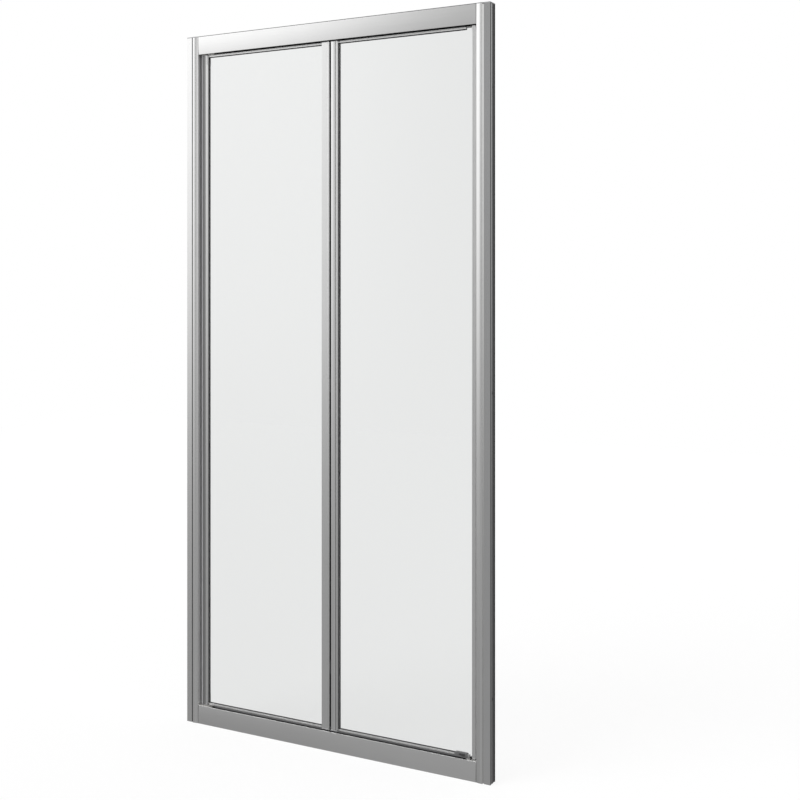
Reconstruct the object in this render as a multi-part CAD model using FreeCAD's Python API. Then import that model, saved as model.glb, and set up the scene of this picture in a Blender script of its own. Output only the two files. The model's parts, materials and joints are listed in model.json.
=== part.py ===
import FreeCAD, Part
import math
import os

# A framed folding shower door: two glass panels between two wall profiles and two rails.
# X runs from the pivot side to the closing side, Y runs into the shower, Z is up.
# The origin is at the middle of the bottom face.

# overall sizes, mm
door_width = 900.0
door_height = 1850.0
frame_depth = 40.0

# working clearances
overrun = 5.0
seat_gap = 0.1
fit_gap = 0.05
slip_gap = 0.3

# wall channels
channel_reach = 16.5
channel_depth = 28.0
channel_set_back = 2.0
channel_wall = 1.8
sealant_groove_depth = 0.8
sealant_groove_widths = (4.0, 6.0)
sealant_groove_starts = (6.0, 17.0)
wall_hole_radius = 2.75
wall_hole_end_distance = 200.0

# jambs, which slide in the wall channels
jamb_face = 21.0
jamb_wall = 1.6
jamb_crown = 2.0
jamb_nose_radius = 3.0
jamb_reveal_width = 1.0
jamb_reveal_depth = 2.5
tongue_reach = 12.0
tongue_gap = 0.2
top_cap_thickness = 2.0
top_cap_plug_depth = 12.0
cap_peg_depth = 6.0

# rails
rail_wall = 1.6
rail_front_set_back = 1.5
rail_lip_set_back = 2.5
rail_crown = 0.6
bottom_rail_height = 48.5
bottom_rear_lip_height = 44.5
trough_depth = 6.0
guide_groove_width = 9.2
guide_groove_depth = 11.5
top_rail_height = 49.0
top_rear_lip_rise = 3.0
ledge_rise = 22.5
ledge_thickness = 2.0
track_slot_width = 10.2
port_radius = 3.0
port_bore_radius = 1.9
top_port_set_back = 7.9
port_web = 1.0

# glass panels
glass_thickness = 5.0
panel_line_set_back = 21.0
panel_gap_bottom = 1.5
panel_gap_top = 1.5
end_cap_thickness = 1.5
glass_end_inset = 2.7
trim_height = 5.0
trim_wall = 1.4
trim_width = 8.0

# stiles, the upright edges of the panels
stile_depth = 22.0
stile_wall = 1.5
stile_corner_radius = 1.2
pivot_stile_width = 21.5
hinge_stile_width = 20.3
leading_stile_width = 10.0
pocket_width = 8.0
pocket_depth = 7.5
pivot_pocket_depth = 5.5
leading_pocket_depth = 7.2
face_groove_inset = 5.0
face_groove_width = 1.2
face_groove_depth = 1.0
pivot_nose_gap = 2.5
leading_edge_gap = 4.5
gasket_proud = 1.0

# centre hinge
hinge_centre_offset = -4.0
hinge_bead_radius = 3.5
hinge_pin_radius = 2.0
hinge_bore_radius = 2.1
hinge_side_overlap = 1.0
hinge_gap_width = 5.7
knuckle_radius = 3.3
knuckle_length = 34.0
knuckle_end_gap = 0.3
knuckle_room = 0.6
hinge_end_distance = 160.0
hinge_pin_anchor = 16.0
leaf_thickness = 1.6
leaf_depth = 13.0

# seals
centre_seal_depth = 7.0
centre_seal_base = 1.2
centre_fin_thickness = 1.4
pivot_lip_clearance = 0.4
pivot_lip_thickness = 1.4
pivot_lip_end_angle = 246.0
pivot_seal_foot_depth = 2.6
pivot_seal_foot_width = 6.0
magnet_strip_width = 12.0
magnet_strip_thickness = 3.0
magnet_bar_width = 8.0
magnet_bar_thickness = 1.4
magnet_strip_round = 0.6
magnet_foot_width = 8.0
magnet_foot_depth = 1.1
jamb_magnet_proud = 0.3

# pivots
pivot_pin_radius = 3.0
pivot_pin_reach = 15.0
pivot_pin_anchor = 16.0
pivot_plug_depth = 24.0
pivot_block_length = 28.0
pivot_block_gap = 0.4
pivot_block_round = 3.0
pivot_block_top_gap = 2.0
pivot_block_rise = 5.0
pivot_washer_radius = 7.0

# roller carriage and guide
carriage_half_length = 19.0
carriage_height = 23.0
carriage_width = 9.2
carriage_drop = 10.5
carriage_round = 3.0
wheel_radius = 6.5
wheel_width = 3.6
wheel_spacing = 24.0
wheel_side_gap = 1.0
wheel_dish = 0.8
wheel_track_gap = 0.3
axle_radius = 1.5
stud_radius = 3.0
stud_head_radius = 4.4
stud_head_height = 3.0
stud_head_seat = 18.0
stud_notch_half_length = 5.2
nut_height = 4.0
nut_across_flats = 10.0
bracket_thickness = 2.2
bracket_reach = 18.0
prong_length = 20.0
prong_gap = 0.2
guide_stud_radius = 2.5
shoe_half_length = 14.0
shoe_width = 8.4
shoe_height = 10.0
shoe_round = 2.5
shoe_floor_gap = 2.0
shoe_flange_radius = 3.4
shoe_flange_height = 2.0
track_stop_length = 8.0
track_stop_height = 12.0
track_stop_gap = 1.0
fold_angle = 80.0

# release on the bottom guide
housing_length = 35.0
housing_height = 10.0
housing_depth = 6.0
housing_wall = 1.5
housing_round = 4.0
housing_inset = 26.5
slider_length = 10.0
slider_height = 4.4
slider_proud = 1.2
slider_travel = 5.0
slider_rib_count = 3
slider_rib_width = 0.8
slider_rib_height = 0.6
slider_base_thickness = 1.6
tongue_size = 1.6
tongue_hold = 2.5
catch_length = 4.0
catch_depth = 5.8
catch_height = 7.6

# screws
frame_screw_radius = 1.9
frame_screw_head_radius = 3.6
frame_screw_head_height = 2.0
frame_screw_length = 8.0
frame_screw_end_distance = 250.0

# planes and axes that several pieces share
front = -frame_depth / 2
rear = frame_depth / 2
half_width = door_width / 2
panel_line = front + panel_line_set_back
stile_front = panel_line - stile_depth / 2
stile_rear = panel_line + stile_depth / 2
glass_front = panel_line - glass_thickness / 2
glass_rear = panel_line + glass_thickness / 2
jamb_side = half_width - channel_reach - jamb_face
seam = half_width - channel_reach
channel_front = front + channel_set_back
channel_rear = channel_front + channel_depth
profile_top = door_height - top_cap_thickness
top_rail_bottom = door_height - top_rail_height
panel_bottom = bottom_rail_height + panel_gap_bottom
panel_top = top_rail_bottom - panel_gap_top
stile_bottom = panel_bottom + end_cap_thickness
stile_top = panel_top - end_cap_thickness
glass_bottom = panel_bottom + glass_end_inset
glass_top = panel_top - glass_end_inset
pivot_x = -jamb_side + pivot_nose_gap + stile_depth / 2
hinge_x = hinge_centre_offset
guide_x = 2 * hinge_x - pivot_x
hinge_y = stile_front
pivot_glass_side = -jamb_side + pivot_nose_gap + pivot_stile_width
near_hinge_right = hinge_x - hinge_side_overlap
near_hinge_left = near_hinge_right - hinge_stile_width
far_hinge_left = hinge_x + hinge_gap_width
far_hinge_right = far_hinge_left + hinge_stile_width
leading_right = jamb_side - leading_edge_gap
leading_left = leading_right - leading_stile_width
trim_front = panel_line - trim_width / 2
trim_rear = panel_line + trim_width / 2
ledge_bottom = top_rail_bottom + ledge_rise
ledge_top = ledge_bottom + ledge_thickness
trough_floor = bottom_rail_height - trough_depth
groove_floor = trough_floor - guide_groove_depth
groove_y0 = panel_line - guide_groove_width / 2
groove_y1 = panel_line + guide_groove_width / 2
fascia_back = front + rail_lip_set_back + rail_wall
half_turn = 180.0
quarter_share = 1 - math.cos(math.pi / 4)

wall_hole_heights = (
    wall_hole_end_distance,
    door_height / 2,
    door_height - wall_hole_end_distance,
)

frame_screw_heights = (
    frame_screw_end_distance,
    door_height / 2,
    door_height - frame_screw_end_distance,
)

hinge_heights = (
    panel_bottom + hinge_end_distance,
    (panel_bottom + panel_top) / 2,
    panel_top - hinge_end_distance,
)

up = FreeCAD.Vector(0, 0, 1)
along_x = FreeCAD.Vector(1, 0, 0)
along_y = FreeCAD.Vector(0, 1, 0)
origin = FreeCAD.Vector(0, 0, 0)

os.makedirs("parts", exist_ok=True)


def on_floor(a, b):
    return FreeCAD.Vector(a, b, 0)


def across_rail(a, b):
    return FreeCAD.Vector(0, a, b)


def facing_front(a, b):
    return FreeCAD.Vector(a, 0, b)


# A closed face from steps: (a, b) is a straight run to that point, and (a, b, bulge) is an arc
# to it that stands out by bulge to the left of the way there.
def section(steps, place=on_floor):
    edges = []
    previous = steps[0]
    if (steps[-1][0], steps[-1][1]) != (previous[0], previous[1]):
        steps = steps + [previous]
    for step in steps[1:]:
        start = place(previous[0], previous[1])
        end = place(step[0], step[1])
        if len(step) == 3 and step[2] != 0:
            chord_a = step[0] - previous[0]
            chord_b = step[1] - previous[1]
            length = math.hypot(chord_a, chord_b)
            middle = place(
                (step[0] + previous[0]) / 2 - chord_b / length * step[2],
                (step[1] + previous[1]) / 2 + chord_a / length * step[2],
            )
            edges.append(Part.Arc(start, middle, end).toShape())
        else:
            edges.append(Part.LineSegment(start, end).toShape())
        previous = step
    return Part.Face(Part.Wire(edges))


def rectangle(a0, a1, b0, b1, place=on_floor):
    return section([(a0, b0), (a1, b0), (a1, b1), (a0, b1)], place)


# A rectangle on the floor with its four corners rounded, run anticlockwise.
def rounded_rectangle(a0, a1, b0, b1, radius, place=on_floor):
    bulge = -radius * quarter_share
    return section([
        (a0 + radius, b0), (a1 - radius, b0), (a1, b0 + radius, bulge),
        (a1, b1 - radius), (a1 - radius, b1, bulge),
        (a0 + radius, b1), (a0, b1 - radius, bulge),
        (a0, b0 + radius), (a0 + radius, b0, bulge),
    ], place)


def box(x0, x1, y0, y1, z0, z1):
    return Part.makeBox(x1 - x0, y1 - y0, z1 - z0, FreeCAD.Vector(x0, y0, z0))


# Solids that share faces become one.
def joined(shapes):
    if len(shapes) < 2:
        return shapes[0]
    return shapes[0].fuse(shapes[1:]).removeSplitter()


def stand(face, z0, z1):
    shape = joined(face.extrude(FreeCAD.Vector(0, 0, z1 - z0)).Solids)
    shape.translate(FreeCAD.Vector(0, 0, z0))
    return shape


def run_along(face, x0, x1):
    shape = joined(face.extrude(FreeCAD.Vector(x1 - x0, 0, 0)).Solids)
    shape.translate(FreeCAD.Vector(x0, 0, 0))
    return shape


def rod(x, y, z, radius, length, direction=up):
    return Part.makeCylinder(radius, length, FreeCAD.Vector(x, y, z), direction)


def mirrored(shape):
    return shape.mirror(origin, along_x)


def both_sides(shapes):
    return shapes + [mirrored(shape) for shape in shapes]


def save(name, shapes):
    if not isinstance(shapes, (list, tuple)):
        shapes = [shapes]
    solids = [solid for shape in shapes for solid in shape.Solids]
    result = solids[0] if len(solids) == 1 else Part.makeCompound(solids)
    result.exportStep("parts/" + name + ".step")


# A profile of radii and heights turned about its axis, and set at a place along a direction.
def turned(steps, place, direction):
    shape = section(steps, facing_front).revolve(origin, up, 2 * half_turn)
    shape.Placement = FreeCAD.Placement(place, FreeCAD.Rotation(up, direction))
    return shape


# A cheese head screw, drawn from the seat of its head along a direction.
def screw(x, y, z, direction, head_radius, head_height, radius, length):
    return joined([
        rod(x, y, z, radius, length, direction),
        rod(x, y, z, head_radius, head_height, -direction),
    ])


# Left wall channel: a U of aluminium whose web lies on the wall, with two sealant grooves.
def wall_channel():
    web = section([
        (-half_width, channel_front), (-seam, channel_front),
        (-seam, channel_front + channel_wall), (-half_width + channel_wall, channel_front + channel_wall),
        (-half_width + channel_wall, channel_rear - channel_wall), (-seam, channel_rear - channel_wall),
        (-seam, channel_rear), (-half_width, channel_rear),
    ])
    for start, width in zip(sealant_groove_starts, sealant_groove_widths):
        web = web.cut(rectangle(
            -half_width, -half_width + sealant_groove_depth,
            channel_front + start, channel_front + start + width,
        ))
    channel = stand(web, 0, profile_top)
    for height in wall_hole_heights:
        channel = channel.cut(rod(
            -half_width - overrun, wall_hole_y, height,
            wall_hole_radius, channel_wall + 2 * overrun, along_x,
        ))
    for height in frame_screw_heights:
        channel = channel.cut(rod(
            frame_screw_x, channel_rear - channel_wall - overrun, height,
            frame_screw_radius + seat_gap, channel_wall + 2 * overrun, along_y,
        ))
    return channel


first_groove_end = channel_front + sealant_groove_starts[0] + sealant_groove_widths[0]
wall_hole_y = first_groove_end + wall_hole_radius + seat_gap
frame_screw_x = -half_width + channel_reach / 2
tongue_front = channel_front + channel_wall + tongue_gap
tongue_rear = channel_rear - channel_wall - tongue_gap


# Left jamb: a hollow profile with a crowned front, a shadow line along the channel, and two
# tongues that slide in the channel.
def jamb(pocket_y0, pocket_y1, pocket_size):
    reveal = channel_front + jamb_reveal_depth
    outer = section([
        (-seam, reveal), (-seam + jamb_reveal_width, reveal), (-seam + jamb_reveal_width, channel_front),
        (-jamb_side - jamb_nose_radius, channel_front, -jamb_crown),
        (-jamb_side, channel_front + jamb_nose_radius, -jamb_nose_radius * quarter_share),
        (-jamb_side, channel_rear), (-seam, channel_rear),
    ])
    inner = section([
        (-seam + jamb_wall, reveal + jamb_wall), (-seam + jamb_wall + jamb_reveal_width, reveal + jamb_wall),
        (-seam + jamb_wall + jamb_reveal_width, channel_front + jamb_wall),
        (-jamb_side - jamb_nose_radius, channel_front + jamb_wall, -jamb_crown),
        (-jamb_side - jamb_wall, channel_front + jamb_wall + jamb_nose_radius / 2),
        (-jamb_side - jamb_wall, channel_rear - jamb_wall),
        (-seam + jamb_wall, channel_rear - jamb_wall),
    ])
    pocket_wall = rectangle(
        -jamb_side - pocket_size - jamb_wall, -jamb_side,
        pocket_y0 - jamb_wall, pocket_y1 + jamb_wall,
    )
    pocket = rectangle(-jamb_side - pocket_size, -jamb_side + overrun, pocket_y0, pocket_y1)
    face = outer.cut(inner.cut(pocket_wall)).cut(pocket)
    for y0 in (tongue_front, tongue_rear - jamb_wall):
        leg = rectangle(-seam - tongue_reach, -seam + jamb_wall, y0, y0 + jamb_wall)
        face = face.fuse(leg)
    shape = stand(face.removeSplitter(), 0, profile_top)
    for height in frame_screw_heights:
        shape = shape.cut(rod(
            frame_screw_x, tongue_rear - jamb_wall - overrun, height,
            frame_screw_radius + fit_gap, jamb_wall + 2 * overrun, along_y,
        ))
    return shape


# A screw port runs along the inside of each rail, on a short web from the floor or the roof.
top_port_y = front + top_port_set_back
bottom_port_y = (fascia_back + groove_y0) / 2
bottom_port_z = rail_wall + port_radius + port_web
top_port_z = door_height - rail_wall - port_radius - port_web


def with_port(face, y, z, web_end):
    web = rectangle(y - rail_wall / 2, y + rail_wall / 2, min(z, web_end), max(z, web_end), across_rail)
    centre = FreeCAD.Vector(0, y, z)
    ring = Part.Face(Part.Wire(Part.makeCircle(port_radius, centre, along_x)))
    bore = Part.Face(Part.Wire(Part.makeCircle(port_bore_radius, centre, along_x)))
    return face.fuse([web, ring]).removeSplitter().cut(bore)


# What lies behind the crowned front wall of a rail, between two heights.
def behind_front(silhouette, y1, z0, z1):
    back = silhouette.copy()
    back.translate(FreeCAD.Vector(0, rail_wall, 0))
    return rectangle(front, y1, z0, z1, across_rail).common(back)


# The threshold is built up of four profiles, face to face. The fascia is a plate with a slightly
# crowned front that ends in a thin lip.
def bottom_rail_fascia():
    lip = front + rail_lip_set_back
    foot = front + rail_front_set_back
    silhouette = section([
        (foot, 0), (fascia_back, 0), (fascia_back, bottom_rail_height),
        (lip, bottom_rail_height), (foot, 0, -rail_crown),
    ], across_rail)
    return run_along(silhouette, -jamb_side, jamb_side)


def hollow_rectangle(y0, y1, height):
    outer = rectangle(y0, y1, 0, height, across_rail)
    inner = rectangle(y0 + rail_wall, y1 - rail_wall, rail_wall, height - rail_wall, across_rail)
    return outer.cut(inner)


# The rail behind the fascia is the front half of the trough, and one side of the guide groove.
def bottom_rail():
    face = with_port(
        hollow_rectangle(fascia_back, groove_y0, trough_floor), bottom_port_y, bottom_port_z, rail_wall / 2,
    )
    return run_along(face, -jamb_side, jamb_side)


# A glide strip between the two rails is the floor of the guide groove.
def guide_strip():
    return run_along(hollow_rectangle(groove_y0, groove_y1, groove_floor), -jamb_side, jamb_side)


# The rear rail is the rear half of the trough, with a low lip that keeps the water in.
def bottom_rail_rear():
    lip = rectangle(
        rear - rail_wall, rear, trough_floor - rail_wall, bottom_rear_lip_height, across_rail,
    )
    face = hollow_rectangle(groove_y1, rear, trough_floor).fuse(lip).removeSplitter()
    return run_along(face, -jamb_side, jamb_side)


# Top rail: an open section with a roller track. Two ledges carry the rollers, with a slot between.
def top_rail():
    lip = front + rail_lip_set_back
    crest = front + rail_front_set_back
    silhouette = section([
        (lip, top_rail_bottom), (rear, top_rail_bottom), (rear, door_height),
        (crest, door_height), (lip, top_rail_bottom, -rail_crown),
    ], across_rail)
    channel = behind_front(silhouette, rear - rail_wall, top_rail_bottom, ledge_bottom)
    roof = door_height - rail_wall
    track = behind_front(silhouette, rear - rail_wall, ledge_top, roof)
    slot = rectangle(
        panel_line - track_slot_width / 2, panel_line + track_slot_width / 2,
        ledge_bottom, ledge_top, across_rail,
    )
    under_skirt = rectangle(
        rear - rail_wall, rear, top_rail_bottom, top_rail_bottom + top_rear_lip_rise, across_rail,
    )
    face = silhouette.cut([channel, track, slot, under_skirt])
    face = with_port(face, top_port_y, top_port_z, roof + rail_wall / 2)
    return run_along(face, -jamb_side, jamb_side)


# The chambers of a stile: its outline drawn in by the wall, less the sheath of the glazing pocket.
# way_in is 1 where the pocket runs towards +X from the glass side, and -1 the other way.
def chambers(outline, glass_side, way_in, depth, gap=0.0):
    behind = glass_side + way_in * (depth + stile_wall + gap)
    mouth = glass_side - way_in * overrun
    grown = pocket_width / 2 + stile_wall + gap
    sheath = rectangle(min(behind, mouth), max(behind, mouth), panel_line - grown, panel_line + grown)
    return outline(stile_wall + gap).cut(sheath)


def stile_face(outline, glass_side, way_in, depth):
    bottom_of_pocket = glass_side + way_in * depth
    mouth = glass_side - way_in * overrun
    pocket = rectangle(
        min(bottom_of_pocket, mouth), max(bottom_of_pocket, mouth),
        panel_line - pocket_width / 2, panel_line + pocket_width / 2,
    )
    return outline(0).cut(chambers(outline, glass_side, way_in, depth)).cut(pocket)


# The outline of a plain stile. Drawn in by an inset it is the edge of a chamber, with square corners.
def plain_outline(x0, x1, inset):
    if inset > 0:
        return rectangle(x0 + inset, x1 - inset, stile_front + inset, stile_rear - inset)
    return rounded_rectangle(x0, x1, stile_front, stile_rear, stile_corner_radius)


def near_hinge_outline(inset):
    return plain_outline(near_hinge_left, near_hinge_right, inset)


def far_hinge_outline(inset):
    return plain_outline(far_hinge_left, far_hinge_right, inset)


def leading_outline(inset):
    return plain_outline(leading_left, leading_right, inset)


# The pivot stile has a round nose about the pivot axis, so its gap to the jamb never changes.
def nose_outline(inset):
    radius = stile_depth / 2 - inset
    right = pivot_glass_side - inset
    y0 = panel_line - radius
    y1 = panel_line + radius
    if inset > 0:
        return section([
            (pivot_x, y0), (right, y0), (right, y1), (pivot_x, y1), (pivot_x, y0, -radius),
        ])
    corner = stile_corner_radius
    bulge = -corner * quarter_share
    return section([
        (pivot_x, y0), (right - corner, y0), (right, y0 + corner, bulge),
        (right, y1 - corner), (right - corner, y1, bulge), (pivot_x, y1), (pivot_x, y0, -radius),
    ])


# A shallow line down the front of a stile, beside the glass.
def face_groove(x):
    return rectangle(
        x - face_groove_width / 2, x + face_groove_width / 2,
        stile_front - overrun, stile_front + face_groove_depth,
    )


def disc(x, y, radius):
    return Part.Face(Part.Wire(Part.makeCircle(radius, FreeCAD.Vector(x, y, 0))))


def pivot_stile():
    face = stile_face(nose_outline, pivot_glass_side, -1, pivot_pocket_depth)
    return stand(face, stile_bottom, stile_top)


# The stile on the hinge side of the pivot panel carries the round hinge bead along its front
# edge. The bead is milled away in three windows, where the knuckles of the leaves sit.
def near_hinge_stile():
    plain = stile_face(near_hinge_outline, near_hinge_left, 1, pocket_depth)
    bead = disc(hinge_x, hinge_y, hinge_bead_radius)
    free_bead = bead.cut(chambers(near_hinge_outline, near_hinge_left, 1, pocket_depth))
    face = plain.fuse(free_bead).removeSplitter().cut(disc(hinge_x, hinge_y, hinge_bore_radius))
    stile = stand(face, stile_bottom, stile_top)
    window = knuckle_length + 2 * knuckle_end_gap
    for height in hinge_heights:
        stile = stile.cut(rod(
            hinge_x, hinge_y, height - window / 2, knuckle_radius + knuckle_room, window,
        ))
    return stile


def far_hinge_stile():
    face = stile_face(far_hinge_outline, far_hinge_right, -1, pocket_depth)
    face = face.cut(face_groove(far_hinge_right - face_groove_inset))
    return stand(face, stile_bottom, stile_top)


# The slim stile on the closing edge has a shallow pocket for the foot of its magnet strip.
def leading_stile():
    face = stile_face(leading_outline, leading_left, 1, leading_pocket_depth)
    foot = magnet_foot_width / 2 + seat_gap
    face = face.cut(rectangle(
        leading_right - magnet_foot_depth - seat_gap, leading_right + overrun,
        panel_line - foot, panel_line + foot,
    ))
    return stand(face, stile_bottom, stile_top)


# A glazing gasket: a U round the glass edge that fills the pocket and stands a little proud.
def gasket(glass_side, way_in, depth):
    lip = glass_side - way_in * gasket_proud
    seat = glass_side + way_in * (depth - seat_gap)
    wall = (pocket_width - glass_thickness) / 2 - seat_gap
    outer = rectangle(min(lip, seat), max(lip, seat), glass_front - wall, glass_rear + wall)
    floor = seat - way_in * wall
    mouth = lip - way_in * overrun
    slot = rectangle(
        min(mouth, floor), max(mouth, floor), glass_front - fit_gap, glass_rear + fit_gap,
    )
    low = panel_bottom + trim_height + slip_gap
    high = panel_top - trim_height - slip_gap
    return stand(outer.cut(slot), low, high)


def glass_edge(glass_side, way_in, depth):
    return glass_side + way_in * (depth - (pocket_width - glass_thickness) / 2 - seat_gap)


def glass_sheet(x0, x1):
    return box(x0, x1, glass_front, glass_rear, glass_bottom, glass_top)


# Edge trims: slim U profiles on the top and bottom edges of the glass, between the stiles.
def edge_trim(x0, x1, edge, way_in):
    slot_y0 = glass_front - seat_gap
    slot_y1 = glass_rear + seat_gap
    leg = edge + way_in * trim_height
    web = edge + way_in * trim_wall
    profile = section([
        (trim_front, edge), (trim_rear, edge), (trim_rear, leg), (slot_y1, leg),
        (slot_y1, web), (slot_y0, web), (slot_y0, leg), (trim_front, leg),
    ], across_rail)
    return run_along(profile, x0, x1)


# An end cap: a plate over the end of a stile, with a plug that fills its chambers.
def end_cap(outline, glass_side, way_in, depth, at_top, plug_length):
    plug_face = chambers(outline, glass_side, way_in, depth, prong_gap)
    if at_top:
        return joined([
            stand(outline(0), stile_top, panel_top),
            stand(plug_face, stile_top - plug_length, stile_top),
        ])
    return joined([
        stand(outline(0), panel_bottom, stile_bottom),
        stand(plug_face, stile_bottom, stile_bottom + plug_length),
    ])


def pivot_cap(at_top):
    cap = end_cap(nose_outline, pivot_glass_side, -1, pivot_pocket_depth, at_top, pivot_plug_depth)
    low = panel_top - pivot_pin_anchor if at_top else panel_bottom - overrun
    high = panel_top + overrun if at_top else panel_bottom + pivot_pin_anchor
    return cap.cut(rod(pivot_x, panel_line, low, pivot_pin_radius + fit_gap, high - low))


def pivot_pin(at_top):
    length = pivot_pin_reach + pivot_pin_anchor
    low = panel_top - pivot_pin_anchor if at_top else panel_bottom - pivot_pin_reach
    return rod(pivot_x, panel_line, low, pivot_pin_radius, length)


# The bearing block of the top pivot fills the left end of the top rail, under its ledges.
def top_pivot_block():
    x1 = -jamb_side + pivot_block_length
    y0 = fascia_back + pivot_block_gap
    y1 = rear - rail_wall - pivot_block_gap
    bulge = -pivot_block_round * quarter_share
    face = section([
        (-jamb_side, y0), (x1 - pivot_block_round, y0), (x1, y0 + pivot_block_round, bulge),
        (x1, y1 - pivot_block_round), (x1 - pivot_block_round, y1, bulge), (-jamb_side, y1),
    ])
    face = face.cut(disc(pivot_x, panel_line, pivot_pin_radius + fit_gap))
    return stand(face, top_rail_bottom + pivot_block_top_gap, ledge_bottom)


# The bottom block lies in the trough, with a tongue in the guide groove that takes the pin.
def bottom_pivot_block():
    x1 = -jamb_side + pivot_block_length
    y0 = fascia_back + pivot_block_gap
    y1 = rear - rail_wall - pivot_block_gap
    half_tongue = guide_groove_width / 2 - tongue_gap
    block = joined([
        box(-jamb_side, x1, y0, y1, trough_floor, trough_floor + pivot_block_rise),
        box(
            -jamb_side, x1, panel_line - half_tongue, panel_line + half_tongue,
            groove_floor + tongue_gap, trough_floor,
        ),
    ])
    pin_end = panel_bottom - pivot_pin_reach - seat_gap
    return block.cut(rod(pivot_x, panel_line, pin_end, pivot_pin_radius + fit_gap, bottom_rail_height))


def thrust_washer():
    low = trough_floor + pivot_block_rise
    high = panel_bottom - seat_gap
    ring = rod(pivot_x, panel_line, low, pivot_washer_radius, high - low)
    return ring.cut(rod(pivot_x, panel_line, low - overrun, pivot_pin_radius + seat_gap, high))


# A hinge leaf: a knuckle about the hinge axis, a short web and a plate on the side of the stile.
def hinge_leaf(height):
    plate_x0 = far_hinge_left - leaf_thickness
    low = height - knuckle_length / 2
    web = rectangle(hinge_x, far_hinge_left, hinge_y, hinge_y + leaf_thickness)
    plate = rectangle(plate_x0, far_hinge_left, hinge_y, hinge_y + leaf_depth)
    face = joined([disc(hinge_x, hinge_y, knuckle_radius), web, plate])
    return stand(face.cut(disc(hinge_x, hinge_y, hinge_pin_radius + fit_gap)), low, low + knuckle_length)


def hinge_pin(height):
    length = knuckle_length + 2 * knuckle_end_gap + 2 * hinge_pin_anchor
    return rod(hinge_x, hinge_y, height - length / 2, hinge_pin_radius, length)


# The soft seal behind the hinge: a base on the far stile and a fin that meets the near one.
def centre_seal():
    y1 = stile_rear - stile_corner_radius
    y0 = y1 - centre_seal_depth
    x1 = far_hinge_left
    fin = y0 + (centre_seal_depth - centre_fin_thickness) / 2
    face = joined([
        rectangle(x1 - centre_seal_base, x1, y0, y1),
        rectangle(near_hinge_right + slip_gap, x1, fin, fin + centre_fin_thickness),
    ])
    return stand(face, stile_bottom, stile_top)


def polar(x, y, radius, angle):
    turn = math.radians(angle)
    return x + radius * math.cos(turn), y + radius * math.sin(turn)


# The pivot seal: a foot in the jamb and a curved lip that follows the round nose of the stile.
def pivot_seal():
    inner = stile_depth / 2 + pivot_lip_clearance
    outer = inner + pivot_lip_thickness
    span = math.radians(pivot_lip_end_angle - half_turn)
    swell = 1 - math.cos(span / 2)
    start_out = polar(pivot_x, panel_line, outer, half_turn)
    end_out = polar(pivot_x, panel_line, outer, pivot_lip_end_angle)
    end_in = polar(pivot_x, panel_line, inner, pivot_lip_end_angle)
    start_in = polar(pivot_x, panel_line, inner, half_turn)
    lip = section([
        start_out, (end_out[0], end_out[1], -outer * swell), end_in,
        (start_in[0], start_in[1], inner * swell),
    ])
    foot_half = pivot_seal_foot_width / 2
    foot = rectangle(
        -jamb_side - pivot_seal_foot_depth, pivot_x - inner,
        panel_line - foot_half, panel_line + foot_half,
    ).cut(disc(pivot_x, panel_line, inner))
    return stand(joined([foot, lip]), bottom_rail_height + slip_gap, top_rail_bottom - slip_gap)


# Magnet strips: a soft carrier with a flat magnet bar in its middle, one on each closing side.
def leading_magnet_strip():
    x0 = leading_right
    x1 = x0 + magnet_strip_thickness
    half = magnet_strip_width / 2
    body = rounded_rectangle(x0, x1, panel_line - half, panel_line + half, magnet_strip_round)
    foot_half = magnet_foot_width / 2
    foot = rectangle(
        x0 - magnet_foot_depth, x0 + magnet_strip_round, panel_line - foot_half, panel_line + foot_half,
    )
    return stand(joined([body, foot]).cut(leading_magnet_face(seat_gap)), stile_bottom, stile_top)


def leading_magnet_face(gap=0.0):
    middle = leading_right + magnet_strip_thickness / 2
    return magnet_face(middle, gap)


def magnet_face(middle, gap):
    half_x = magnet_bar_thickness / 2 + gap
    half_y = magnet_bar_width / 2 + gap
    return rectangle(middle - half_x, middle + half_x, panel_line - half_y, panel_line + half_y)


def jamb_magnet_middle():
    return jamb_side - jamb_magnet_proud + magnet_strip_thickness / 2


def jamb_magnet_strip():
    half = magnet_strip_width / 2
    x0 = jamb_side - jamb_magnet_proud
    body = rectangle(x0, x0 + magnet_strip_thickness, panel_line - half, panel_line + half)
    face = body.cut(magnet_face(jamb_magnet_middle(), seat_gap))
    return stand(face, bottom_rail_height + slip_gap, top_rail_bottom - slip_gap)


# The top bracket closes the leading stile and reaches over the glass to carry the roller stud.
def closing_bracket(at_top):
    cap = end_cap(leading_outline, leading_left, 1, leading_pocket_depth, at_top, prong_length)
    x0 = leading_left - bracket_reach
    x1 = leading_left
    if at_top:
        plate = box(x0, x1, trim_front, trim_rear, panel_top - bracket_thickness, panel_top)
    else:
        plate = box(x0, x1, trim_front, trim_rear, panel_bottom, panel_bottom + bracket_thickness)
    radius = stud_radius if at_top else guide_stud_radius
    bracket = joined([cap, plate])
    z0 = panel_top - bracket_thickness if at_top else panel_bottom
    depth = bracket_thickness + 2 * overrun
    return bracket.cut(rod(guide_x, panel_line, z0 - overrun, radius + fit_gap, depth))


# The bottom bracket also has the catch that the release tongue enters.
def guide_bracket():
    bracket = closing_bracket(False)
    low = slider_middle - tongue_size / 2 - slip_gap
    high = slider_middle + tongue_size / 2 + slip_gap
    catch = box(
        catch_left, catch_left + catch_length, trim_front - catch_depth, trim_front,
        panel_bottom, panel_bottom + catch_height,
    )
    keyhole = box(
        catch_left - overrun, catch_left + tongue_hold + slip_gap,
        slider_front - slip_gap, slider_front + tongue_size + slip_gap, low, high,
    )
    return joined([bracket, catch.cut(keyhole)])


# The roller stud hangs in the carriage by its round head and is locked by a nut on the bracket.
def roller_stud():
    low = panel_top - bracket_thickness
    seat = carriage_bottom + stud_head_seat
    return joined([
        rod(guide_x, panel_line, low, stud_radius, seat - low),
        rod(guide_x, panel_line, seat, stud_head_radius, stud_head_height),
    ])


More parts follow.
